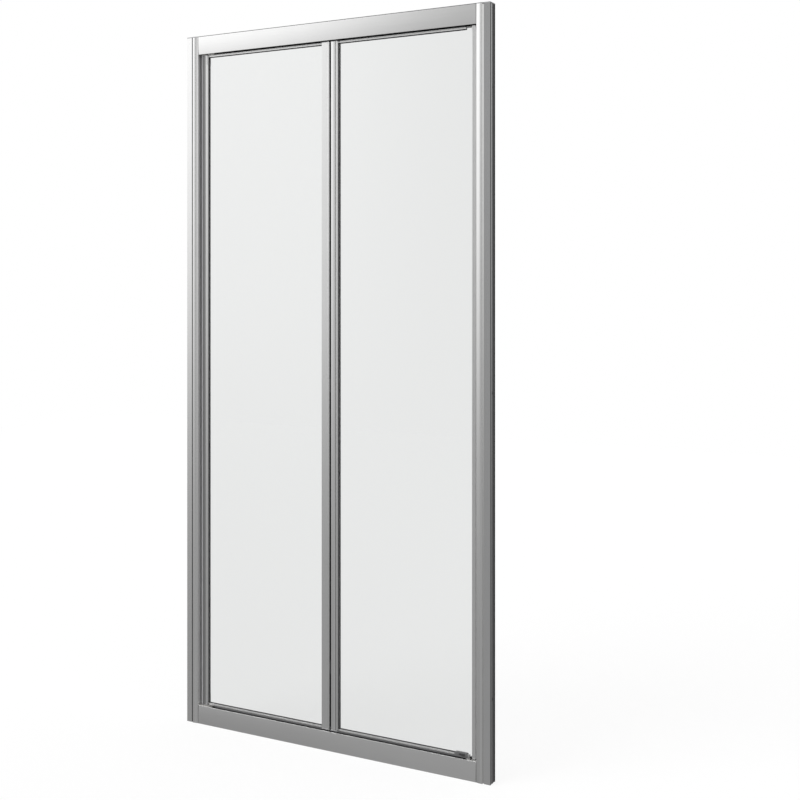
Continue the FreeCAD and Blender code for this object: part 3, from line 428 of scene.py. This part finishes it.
# A profile carried straight along: the wall's point is (a(u), b(u), low + v (high - low)),
# and the two ends are closed. The first loop is the outline, and the others are chambers.
def sweepArrays(loops, low, high, axes):
    loops = [turnedTo(np.asarray(loop), number == 0) for number, loop in enumerate(loops)]
    flat = np.vstack(loops)
    count = len(flat)
    points = np.zeros((2 * count, 3))
    points[:, axes[0]] = np.tile(flat[:, 0], 2)
    points[:, axes[1]] = np.tile(flat[:, 1], 2)
    points[:, axes[2]] = np.repeat([low, high], count)
    starts = np.cumsum([0] + [len(loop) for loop in loops])
    here = np.arange(count)
    after = np.concatenate([np.roll(here[a:b], -1) for a, b in zip(starts[:-1], starts[1:])])
    walls = np.stack([here, after, after + count, here + count], axis=1)
    ends = np.array(tessellate_polygon([[Vector((*p, 0)) for p in loop] for loop in loops]))
    a, b, c = flat[ends[:, 0]], flat[ends[:, 1]], flat[ends[:, 2]]
    facing = (b[:, 0] - a[:, 0]) * (c[:, 1] - a[:, 1]) - (b[:, 1] - a[:, 1]) * (c[:, 0] - a[:, 0])
    ends[facing < 0] = ends[facing < 0][:, ::-1]
    return points, walls.tolist() + (ends + count).tolist() + ends[:, ::-1].tolist()


# One object from several stretches of points and faces, smooth except at its edges.
def makePiece(name, stretches, finish, body, replaced, edgeAngle=25.0, merge=False):
    points, faces, count = [], [], 0
    for stretch, stretchFaces in stretches:
        points.append(stretch)
        faces += [[index + count for index in face] for face in stretchFaces]
        count += len(stretch)
    mesh = bpy.data.meshes.new(name)
    mesh.from_pydata(np.vstack(points).tolist(), [], faces)
    if merge:
        sheet = bmesh.new()
        sheet.from_mesh(mesh)
        bmesh.ops.remove_doubles(sheet, verts=sheet.verts, dist=sameVertex)
        bmesh.ops.recalc_face_normals(sheet, faces=sheet.faces)
        sheet.to_mesh(mesh)
        sheet.free()
    mesh.shade_smooth()
    mesh.set_sharp_from_angle(angle=math.radians(edgeAngle))
    mesh.materials.append(finishes[finish])
    piece = bpy.data.objects.new(name, mesh)
    bpy.context.scene.collection.objects.link(piece)
    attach(piece, body)
    if replaced:
        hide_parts(*replaced)


jambShape = {
    "wall": 1.6 * mm, "crown": 0.5 * mm, "nose": 3.0 * mm, "noseSteps": 9,
    "front": -18.7 * mm, "lean": 1.15 * mm, "rear": 10.0 * mm, "edge": 0.35 * mm,
    "tongueReach": 12.0 * mm, "tongueFront": -16.0 * mm, "tongueRear": 8.0 * mm,
    "revealWidth": 3.8 * mm, "revealDepth": 3.7 * mm, "channelFront": -18.0 * mm,
    "cap": 2.0 * mm, "peg": 6.0 * mm,
    "pivotPocket": (-2.1 * mm, 4.1 * mm, 2.7 * mm), "magnetPocket": (-5.1 * mm, 7.1 * mm, 2.8 * mm),
}


# A jamb, drawn as the left one: a hollow with a crowned front, a shadow line along the channel,
# a pocket in its inner side and two tongues.
def jambLoops(shape, pocket, side, seam):
    wall, edge = shape["wall"], shape["edge"]
    front, rear = shape["front"], shape["rear"]
    low, high, depth = pocket
    lip = edge / 2
    noseStart, noseEnd = side - shape["nose"], front + shape["nose"]
    reveal, start = front + shape["revealDepth"], seam + shape["revealWidth"]
    crown = bow((start, front - shape["lean"]), (noseStart, front), -shape["crown"])
    nose = bow((noseStart, front), (side, noseEnd), -shape["nose"] * quarterRise, shape["noseSteps"])
    tongueEnd = seam - shape["tongueReach"]
    outline = np.vstack([
        [(seam, reveal, 0), (start, reveal, 0)], crown, nose[1:],
        [(side, low, lip), (side - depth, low, 0), (side - depth, high, 0), (side, high, lip)],
        [(side, rear, edge), (seam, rear, 0)],
        [(seam, shape["tongueRear"], 0), (tongueEnd, shape["tongueRear"], 0)],
        [(tongueEnd, shape["tongueRear"] - wall, 0), (seam, shape["tongueRear"] - wall, 0)],
        [(seam, shape["tongueFront"] + wall, 0), (tongueEnd, shape["tongueFront"] + wall, 0)],
        [(tongueEnd, shape["tongueFront"], 0), (seam, shape["tongueFront"], 0)],
    ])
    behind = side - depth - wall
    chamber = np.vstack([
        [(seam + wall, reveal + wall, 0), (start + wall, reveal + wall, 0)],
        bow((start + wall, front + wall), (noseStart, front + wall), -shape["crown"]),
        [(side - wall, noseEnd, 0), (side - wall, low - wall, 0), (behind, low - wall, 0)],
        [(behind, high + wall, 0), (side - wall, high + wall, 0), (side - wall, rear - wall, 0)],
        [(seam + wall, rear - wall, 0)],
    ])
    return [rounded(outline), rounded(chamber)]


for name, pocket, finishName, flip in (
    ("left_jamb", jambShape["pivotPocket"], "revealMetal", False),
    ("right_jamb", jambShape["magnetPocket"], "uprightMetal", True),
):
    low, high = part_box(name)
    tip, side = (-high.x, -low.x) if flip else (low.x, high.x)
    loops = jambLoops(jambShape, pocket, side, tip + jambShape["tongueReach"])
    loops = mirrored(loops) if flip else loops
    makePiece(
        name.replace("_", "") + "Profile", [sweepArrays(loops, low.z, high.z, upright)],
        finishName, "frame", [name],
    )

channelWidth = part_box("left_jamb")[0].x + jambShape["tongueReach"] - cadBox[0][0]


# The cap over a wall channel and its jamb: a plate with the jamb's front, and a peg below it.
def capStretches(shape, low, high, flip):
    near, far = (-high.x, -low.x) if flip else (low.x, high.x)
    seam = near + channelWidth
    start = seam + shape["revealWidth"]
    front, wall, nose = shape["front"], shape["wall"], shape["nose"]
    plate = rounded(np.vstack([
        [(near, shape["channelFront"], 0), (seam, shape["channelFront"], 0)],
        bow((start, front - shape["lean"]), (far - nose, front), -shape["crown"]),
        bow((far - nose, front), (far, front + nose), -nose * quarterRise, shape["noseSteps"])[1:],
        [(far, high.y, shape["edge"]), (near, high.y, 0)],
    ]))
    pegNear, pegFar = seam + 2 * wall, far - 3 * wall
    pegFront = shape["channelFront"] + 2 * wall
    pegRear = pegFront + shape["peg"]
    peg = np.array([(pegNear, pegFront), (pegFar, pegFront), (pegFar, pegRear), (pegNear, pegRear)])
    plate, peg = mirrored([plate, peg]) if flip else [plate, peg]
    seat = high.z - shape["cap"]
    return [sweepArrays([plate], seat, high.z, upright), sweepArrays([peg], low.z, seat, upright)]


for name, flip in (("left_top_cap", False), ("right_top_cap", True)):
    low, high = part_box(name)
    makePiece(
        name.replace("_", "") + "Profile", capStretches(jambShape, low, high, flip),
        "greyPlastic", "frame", [name],
    )
print("stage: jambs made")

railShape = {
    "wall": 1.6 * mm, "crown": 0.6 * mm, "wideInset": 1.5 * mm, "lipInset": 2.5 * mm,
    "edge": 0.5 * mm, "topEdge": 1.4 * mm, "crestEdge": 1.26 * mm,
    "port": 3.0 * mm, "bore": 1.9 * mm, "portInset": 7.9 * mm, "portWeb": 1.0 * mm,
    "ledgeRise": 22.5 * mm, "ledge": 2.0 * mm, "slot": (-4.1 * mm, 6.1 * mm), "skirt": 3.0 * mm,
}
frontY, rearY = cadBox[0][1], cadBox[1][1]


# The crowned front of a rail as its distance Y for a height: the circle through both edges.
class Crown:
    def __init__(self, lowEdge, highEdge, rise):
        start, middle, end = bow(highEdge, lowEdge, -rise, count=3)[:, :2]
        chord = end - start
        half = np.linalg.norm(chord) / 2
        self.radius = (half ** 2 + rise ** 2) / (2 * rise)
        inward = np.array([chord[1], -chord[0]]) / (2 * half)
        inward = inward * np.sign(inward[0])
        self.centre = middle + inward * self.radius

    def line(self, start, end, inset=0.0, count=33):
        heights = np.linspace(start, end, count)
        reach = np.sqrt(self.radius ** 2 - (heights - self.centre[1]) ** 2)
        return np.stack([self.centre[0] - reach + inset, heights, np.zeros(count)], axis=1)


# The round screw port that hangs under the roof of the top rail, and the web that holds it.
def portLoops(shape, top):
    y, z = frontY + shape["portInset"], top - shape["wall"] - shape["port"] - shape["portWeb"]
    half = shape["wall"] / 2
    low, high = z + shape["bore"], top - half
    web = np.array([(y - half, low), (y + half, low), (y + half, high), (y - half, high)])
    return [circle(y, z, shape["port"]), circle(y, z, shape["bore"])], [web]


def fasciaLoops(shape, back, top):
    edge = shape["edge"]
    foot, lip = frontY + shape["wideInset"], frontY + shape["lipInset"]
    crown = Crown((foot, 0), (lip, top), shape["crown"])
    return [rounded(np.vstack([
        crown.line(top - edge, edge), [(foot, 0, edge / 2), (back, 0, edge)],
        [(back, top, edge), (lip, top, edge / 2)],
    ]))]


def topRailLoops(shape, bottom, top):
    wall, edge = shape["wall"], shape["edge"]
    small = edge / 2
    crest, lip = frontY + shape["wideInset"], frontY + shape["lipInset"]
    crown = Crown((lip, bottom), (crest, top), shape["crown"])
    ledge0 = bottom + shape["ledgeRise"]
    ledge1 = ledge0 + shape["ledge"]
    slot0, slot1 = shape["slot"]
    inner, roof = rearY - wall, top - wall
    skirt = bottom + shape["skirt"]
    return [rounded(np.vstack([
        crown.line(top - shape["topEdge"], bottom + edge),
        [(lip, bottom, small), (lip + wall, bottom, small)],
        crown.line(bottom + edge, ledge0, wall), [(slot0, ledge0, small), (slot0, ledge1, small)],
        crown.line(ledge1, roof, wall), [(inner, roof, edge), (inner, ledge1, 0)],
        [(slot1, ledge1, small), (slot1, ledge0, small), (inner, ledge0, 0), (inner, skirt, small)],
        [(rearY, skirt, edge), (rearY, top, edge), (crest, top, shape["crestEdge"])],
    ]))]


low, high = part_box("bottom_rail_fascia")
makePiece(
    "fasciaProfile", [sweepArrays(fasciaLoops(railShape, high.y, high.z), low.x, high.x, lengthwise)],
    "troughMetal", "frame", ["bottom_rail_fascia"],
)
low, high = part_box("top_rail")
makePiece(
    "toprailProfile",
    [
        sweepArrays(loops, low.x, high.x, lengthwise)
        for loops in (topRailLoops(railShape, low.z, high.z), *portLoops(railShape, high.z))
    ],
    "trackMetal", "frame", ["top_rail"],
)
print("stage: rails made")

stileShape = {
    "wall": 1.5 * mm, "corner": 1.2 * mm, "edge": 0.2 * mm, "bevelEdge": 0.3 * mm, "pocketHalf": 4.0 * mm,
    "lineWidth": 1.2 * mm, "lineDepth": 1.0 * mm, "rebateDepth": 5.0 * mm, "footDepth": 1.2 * mm,
}
pivotStileShape = dict(stileShape, pocket=5.5 * mm, bevel=4.5 * mm, noseSteps=41)
# Of the plain stiles, line is how far the shallow line in the front lies from the side of the
# glass, rebate how wide the step at the seam is, and foot half the seat for a seal. 0 is none.
farStileShape = dict(stileShape, pocket=7.5 * mm, bevel=2.8 * mm, line=5.0 * mm, rebate=1.5 * mm, foot=0)
leadingStileShape = dict(stileShape, pocket=7.2 * mm, bevel=1.2 * mm, line=0, rebate=0, foot=4.1 * mm)


# The pivot stile: a round nose about the pivot axis and a pocket for the glass.
def pivotStileLoops(shape, low, high):
    wall, bevel, bevelEdge = shape["wall"], shape["bevel"], shape["bevelEdge"]
    middle, half = (low.y + high.y) / 2, (high.y - low.y) / 2
    axis = low.x + half
    pocketEnd = high.x - shape["pocket"]
    pocket0, pocket1 = middle - shape["pocketHalf"], middle + shape["pocketHalf"]
    within = bevel + wall * bevelGain
    outline = np.vstack([
        bow((axis, high.y), (axis, low.y), -half, shape["noseSteps"]),
        [(high.x - bevel, low.y, bevelEdge), (high.x, low.y + bevel, bevelEdge)],
        [(high.x, pocket0, 0), (pocketEnd, pocket0, 0), (pocketEnd, pocket1, 0), (high.x, pocket1, 0)],
        [(high.x, high.y - bevel, bevelEdge), (high.x - bevel, high.y, bevelEdge)],
    ])
    inset = half - wall
    right = high.x - wall
    chamber = np.vstack([
        bow((axis, middle + inset), (axis, middle - inset), -inset, shape["noseSteps"]),
        [(high.x - within, middle - inset, 0), (right, low.y + within, 0)],
        [(right, pocket0 - wall, 0), (pocketEnd - wall, pocket0 - wall, 0)],
        [(pocketEnd - wall, pocket1 + wall, 0), (right, pocket1 + wall, 0)],
        [(right, high.y - within, 0), (high.x - within, middle + inset, 0)],
    ])
    return [rounded(outline), rounded(chamber)]


low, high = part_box("pivot_stile")
makePiece(
    "pivotStileProfile", [sweepArrays(pivotStileLoops(pivotStileShape, low, high), low.z, high.z, upright)],
    "noseMetal", "pivot_panel", ["pivot_stile"],
)


# A plain stile, drawn with its pocket for the glass on the left. A deep pocket parts its hollow
# into two chambers.
def plainStileLoops(shape, x0, x1, y0, y1):
    wall, corner, edge = shape["wall"], shape["corner"], shape["edge"]
    bevel, bevelEdge = shape["bevel"], shape["bevelEdge"]
    rebate, foot, depth = shape["rebate"], shape["foot"], shape["pocket"]
    middle = (y0 + y1) / 2
    pocket0, pocket1 = middle - shape["pocketHalf"], middle + shape["pocketHalf"]
    outline = [(x0, y0 + bevel, bevelEdge), (x0 + bevel, y0, bevelEdge)]
    if shape["line"]:
        line0 = x0 + shape["line"] - shape["lineWidth"] / 2
        line1 = x0 + shape["line"] + shape["lineWidth"] / 2
        base = y0 + shape["lineDepth"]
        outline += [(line0, y0, edge), (line0, base, 0), (line1, base, 0), (line1, y0, edge)]
    if rebate:
        step = y0 + shape["rebateDepth"]
        outline += [(x1 - rebate, y0, edge), (x1 - rebate, step, 0), (x1, step, edge)]
    else:
        outline += [(x1, y0, corner)]
    if foot:
        seat = x1 - shape["footDepth"]
        foot0, foot1 = middle - foot, middle + foot
        outline += [(x1, foot0, 0), (seat, foot0, 0), (seat, foot1, 0), (x1, foot1, 0)]
    outline += [
        (x1, y1, corner), (x0 + bevel, y1, bevelEdge), (x0, y1 - bevel, bevelEdge),
        (x0, pocket1, 0), (x0 + depth, pocket1, 0), (x0 + depth, pocket0, 0), (x0, pocket0, 0),
    ]
    within = bevel + wall * bevelGain
    left, right, behind = x0 + wall, x1 - wall, x0 + depth + wall
    bottom, top = y0 + wall, y1 - wall
    sheath0, sheath1 = pocket0 - wall, pocket1 + wall
    frontSide = [(left, y0 + within, 0), (x0 + within, bottom, 0)]
    if rebate:
        step = bottom + shape["rebateDepth"]
        frontSide += [(right - rebate, bottom, 0), (right - rebate, step, 0), (right, step, 0)]
    else:
        frontSide += [(right, bottom, 0)]
    rearSide = [(right, top, 0), (x0 + within, top, 0), (left, y1 - within, 0)]
    if right <= behind:
        chambers = [
            frontSide + [(right, sheath0, 0), (left, sheath0, 0)],
            [(left, sheath1, 0), (right, sheath1, 0)] + rearSide,
        ]
    else:
        pocketSide = [(left, sheath1, 0), (behind, sheath1, 0), (behind, sheath0, 0), (left, sheath0, 0)]
        chambers = [frontSide + rearSide + pocketSide]
    return [rounded(np.array(outline))] + [rounded(np.array(chamber)) for chamber in chambers]


low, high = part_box("far_hinge_stile")
loops = mirrored(plainStileLoops(farStileShape, -high.x, -low.x, low.y, high.y))
makePiece(
    "farHingeStileProfile", [sweepArrays(loops, low.z, high.z, upright)],
    "lineMetal", "leading_panel", ["far_hinge_stile"],
)
low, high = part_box("leading_stile")
loops = plainStileLoops(leadingStileShape, low.x, high.x, low.y, high.y)
makePiece(
    "leadingStileProfile", [sweepArrays(loops, low.z, high.z, upright)],
    "uprightMetal", "leading_panel", ["leading_stile"],
)
print("stage: stiles made")

# Thin wedges of black rubber hold the glass in its edge trims, in front and behind.
wedgeShape = {
    "topHeight": 1.9 * mm, "bottomHeight": 1.2 * mm, "foot": 2.54 * mm, "head": 2.52 * mm,
    "outer": 3.9 * mm, "top": 3.1 * mm, "outerEdge": 0.2 * mm, "topEdge": 0.3 * mm,
}
for name, body in trimBodies.items():
    low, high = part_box(name)
    middle = (low.y + high.y) / 2
    if "top" in name:
        seat, end = low.z, low.z - wedgeShape["topHeight"]
    else:
        seat, end = high.z, high.z + wedgeShape["bottomHeight"]
    wedge = rounded([
        (wedgeShape["foot"], seat, 0), (wedgeShape["outer"], seat, wedgeShape["outerEdge"]),
        (wedgeShape["top"], end, wedgeShape["topEdge"]), (wedgeShape["head"], end, 0),
    ])
    stretches = [
        sweepArrays([wedge * (side, 1) + (middle, 0)], low.x, high.x, lengthwise) for side in (-1, 1)
    ]
    makePiece(name.replace("_", "") + "Wedges", stretches, "gasket", body, None)
print("stage: glazing wedges made")


# A screw seen from its head: over the radius r the head is a low dome of height h (1 - k r^2)
# with a round rim, and two crossed slots of depth d are pressed into it.
def screwStretch(shape, place, axes, outward):
    top = np.linspace(0, shape["radius"] - shape["rim"], shape["rings"])
    turn = np.linspace(0, math.pi / 2, shape["rimRings"] + 1)[1:]
    rim = shape["radius"] - shape["rim"] + shape["rim"] * np.sin(turn)
    crest = shape["height"] * (1 - shape["dome"] * (top / shape["radius"]) ** 2)
    fall = (crest[-1] - shape["rim"]) + shape["rim"] * np.cos(turn)
    radius = np.concatenate([top, rim, [shape["radius"], shape["shank"], shape["shank"], 0]])
    height = np.concatenate([crest, fall, [0, 0, -shape["length"], -shape["length"]]])
    angle = np.linspace(0, 2 * math.pi, shape["sides"], endpoint=False)
    across = radius[:, None] * np.cos(angle)
    along = radius[:, None] * np.sin(angle)
    level = np.repeat(height[:, None], len(angle), axis=1)
    wide, reach = shape["slot"], shape["slotReach"]
    arms = [
        np.clip((wide - np.abs(a)) / (wide / 2), 0, 1) * np.clip((reach - np.abs(b)) / wide, 0, 1)
        for a, b in ((across, along), (along, across))
    ]
    level[:len(top)] -= (np.maximum(*arms) * shape["slotDepth"])[:len(top)]
    points = np.zeros((level.size, 3))
    for axis, values in zip(axes, (across, along, level * outward)):
        points[:, axis] = values.ravel()
    rings, sides = level.shape
    start = np.arange((rings - 1) * sides).reshape(rings - 1, sides)
    after = np.roll(start, -1, axis=1)
    faces = np.stack([start, after, after + sides, start + sides], axis=-1).reshape(-1, 4)
    return points + np.array(place), faces.tolist()


# The heights of three things spread over a node, the outer two inset from its ends.
def threeHeights(low, high, inset):
    return low.z + inset, (low.z + high.z) / 2, high.z - inset


frameScrewShape = {
    "radius": 3.6 * mm, "height": 2.0 * mm, "rim": 0.6 * mm, "dome": 0.15, "shank": 1.9 * mm,
    "length": 8.0 * mm, "slot": 0.55 * mm, "slotReach": 2.1 * mm, "slotDepth": 1.1 * mm,
    "rings": 22, "rimRings": 5, "sides": 48,
}
leafScrewShape = dict(
    frameScrewShape, radius=2.5 * mm, height=0.4 * mm, rim=0.2 * mm, dome=0.3, shank=2.4 * mm,
    length=0.6 * mm, slot=0.5 * mm, slotReach=1.6 * mm, slotDepth=0.35 * mm,
)
screwEdge = 35.0   # degrees
low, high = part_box("frame_screws")
radius = frameScrewShape["radius"]
seat = high.y - frameScrewShape["height"]
stretches = [
    screwStretch(frameScrewShape, (x, seat, z), (0, 2, 1), 1)   # the head looks to the rear
    for x in (low.x + radius, high.x - radius)
    for z in threeHeights(low, high, radius)
]
makePiece(
    "frameScrewHeads", stretches, "steel", "frame", ["frame_screws"],
    edgeAngle=screwEdge, merge=True,
)

# The three leaves of the centre hinge: the height and radius of a knuckle, the thickness of a
# leaf, and how far the screws lie from the knuckle's ends and behind its axis.
leafPlan = {
    "knuckle": 34.0 * mm, "nose": 3.3 * mm, "thick": 1.6 * mm, "screwInset": 8.0 * mm, "screwDepth": 8.5 * mm,
}
low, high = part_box("hinge_leaves")
halfKnuckle = leafPlan["knuckle"] / 2
knuckleMiddles = threeHeights(low, high, halfKnuckle)
axisX, axisY = low.x + leafPlan["nose"], low.y + leafPlan["nose"]
face, y = high.x - leafPlan["thick"], axisY + leafPlan["screwDepth"]
spread = halfKnuckle - leafPlan["screwInset"]
stretches = [
    screwStretch(leafScrewShape, (face, y, z), (1, 2, 0), -1)   # the head looks to the left
    for middle in knuckleMiddles
    for z in (middle - spread, middle + spread)
]
makePiece(
    "leafScrewHeads", stretches, "steel", "leading_panel", None,
    edgeAngle=screwEdge, merge=True,
)

# A sleeve on each knuckle brings it flush with the bead of the stile.
sleeveShape = {"radius": 3.6 * mm, "inner": 3.25 * mm, "sides": 72}
rings = [circle(axisX, axisY, sleeveShape[wall], sleeveShape["sides"]) for wall in ("radius", "inner")]
stretches = [
    sweepArrays(rings, middle - halfKnuckle, middle + halfKnuckle, upright) for middle in knuckleMiddles
]
makePiece("knuckleSleeves", stretches, "uprightMetal", "leading_panel", None)
print("stage: screws and knuckle sleeves made")

# The stage: a pale floor that shows white to the camera and keeps the shadow. Glossy rays pass
# through it into the room.
floorLook = {"halfSize": 6.0, "colour": (0.9, 0.9, 0.9, 1), "glow": 1.029, "glowShare": 0.82}
half = floorLook["halfSize"]
floorMesh = bpy.data.meshes.new("floor")
floorMesh.from_pydata(
    [(-half, -half, 0), (half, -half, 0), (half, half, 0), (-half, half, 0)], [], [(0, 1, 2, 3)],
)
floor = bpy.data.objects.new("floor", floorMesh)
bpy.context.scene.collection.objects.link(floor)
floorMaterial, finish = newMaterial("floor")
seen = finish.maths("MAXIMUM", finish.ray("Is Camera Ray"), finish.ray("Is Transmission Ray"))
shown = finish.mixedShader(
    seen * floorLook["glowShare"],
    finish.node("ShaderNodeBsdfDiffuse", None, {"Color": floorLook["colour"]}),
    finish.node("ShaderNodeEmission", None, {"Color": white, "Strength": floorLook["glow"]}),
)
passed = finish.node("ShaderNodeBsdfTransparent", None, {"Color": white})
finish.node("ShaderNodeOutputMaterial", None, {
    "Surface": finish.mixedShader(finish.offMetal(), shown, passed),
}, output=None)
floorMesh.materials.append(floorMaterial)
floor.visible_glossy = False

# The studio: white behind the object, a plain level all round, and for metal a room that is
# bright above and to the left, falls off below the horizon and is dark to the right. Steep
# directions see the ceiling and the ground, whichever way they turn.
studio = {
    "plain": 0.78, "heightGain": 1.3, "ceilingStart": 0.42, "ceilingFull": 0.65,
    # from straight down over the horizon at 0.5 to straight up
    "heightStops": (
        (0.30, 0.21), (0.37, 0.232), (0.413, 0.29), (0.43, 0.335), (0.4564, 0.44), (0.487, 0.60),
        (0.50, 0.66), (0.546, 0.80), (0.60, 0.96), (0.75, 0.92), (0.86, 0.40), (1.0, 0.30),
    ),
    # from the rear over the left, the front at 0.5 and the right, back to the rear
    "sideStops": (
        (0.0, 0.0), (0.22, 0.55), (0.27, 0.80), (0.36, 1.0), (0.385, 1.0), (0.403, 0.95),
        (0.411, 0.80), (0.419, 0.38), (0.426, 0.08), (0.430, 0.0), (0.436, 0.0), (0.444, 0.30),
        (0.46, 0.55), (0.50, 0.65), (0.62, 0.70), (0.68, 0.40), (0.74, 0.0),
    ),
    # the same way round, for the dark side of the room
    "shadeStops": (
        (0.0, 0.50), (0.2, 0.50), (0.46, 0.32), (0.75, 0.27), (0.87, 0.10), (0.94, 0.10), (1.0, 0.50),
    ),
}
world = bpy.data.worlds.new("studio")
bpy.context.scene.world = world
world.use_nodes = True
finish = Finish(world.node_tree)
direction = finish.node("ShaderNodeTexCoord", output="Generated")
rayX, rayY, rayZ = (finish.axis(direction, axis) for axis in "XYZ")
heightLevel = finish.ramp(studio["heightStops"], rayZ * 0.5 + 0.5) * studio["heightGain"]
around = finish.maths("ARCTAN2", rayX, 0 - rayY) * (0.5 / math.pi) + 0.5
openSide = finish.ramp(studio["sideStops"], around)
steepness = finish.maths("ABSOLUTE", rayZ)
ceiling = finish.mapped(steepness, studio["ceilingStart"], studio["ceilingFull"], 0.0, 1.0)
lit = finish.maths("MAXIMUM", openSide, ceiling)
room = finish.mixed(lit, finish.ramp(studio["shadeStops"], around), heightLevel)
offMetal = finish.offMetal()
level = finish.mixed(offMetal, (studio["plain"],) * 3 + (1,), room)
through = finish.ray("Is Transmission Ray") * (1 - offMetal)
seen = finish.maths("MAXIMUM", finish.ray("Is Camera Ray"), through)
background = finish.node("ShaderNodeBackground", None, {
    "Color": finish.mixed(seen, level, white), "Strength": 1.0,
})
finish.node("ShaderNodeOutputWorld", None, {"Surface": background}, output=None)

lampLook = {"from": (-1.6, -2.4, 3.0), "spread": 35.0, "strength": 0.9}
lamp = bpy.data.lights.new("softLamp", "SUN")
lamp.energy = lampLook["strength"]
lamp.angle = math.radians(lampLook["spread"])
lampHolder = bpy.data.objects.new("softLamp", lamp)
lampHolder.rotation_euler = Vector(lampLook["from"]).to_track_quat("Z", "Y").to_euler()
bpy.context.scene.collection.objects.link(lampHolder)

cameraLook = {
    "place": (1.6645, -2.6776, 1.1807), "tilt": 90.0, "turn": 28.72,
    "lens": 55.63, "sensor": 36.0, "shift": -0.1438,
}
lens = bpy.data.cameras.new("camera")
lens.sensor_width = cameraLook["sensor"]
lens.lens = cameraLook["lens"]
lens.shift_y = cameraLook["shift"]
camera = bpy.data.objects.new("camera", lens)
camera.location = cameraLook["place"]
camera.rotation_euler = (math.radians(cameraLook["tilt"]), 0, math.radians(cameraLook["turn"]))
bpy.context.scene.collection.objects.link(camera)
bpy.context.scene.camera = camera
bpy.context.scene.view_settings.view_transform = "Standard"
print("stage: light and camera set")
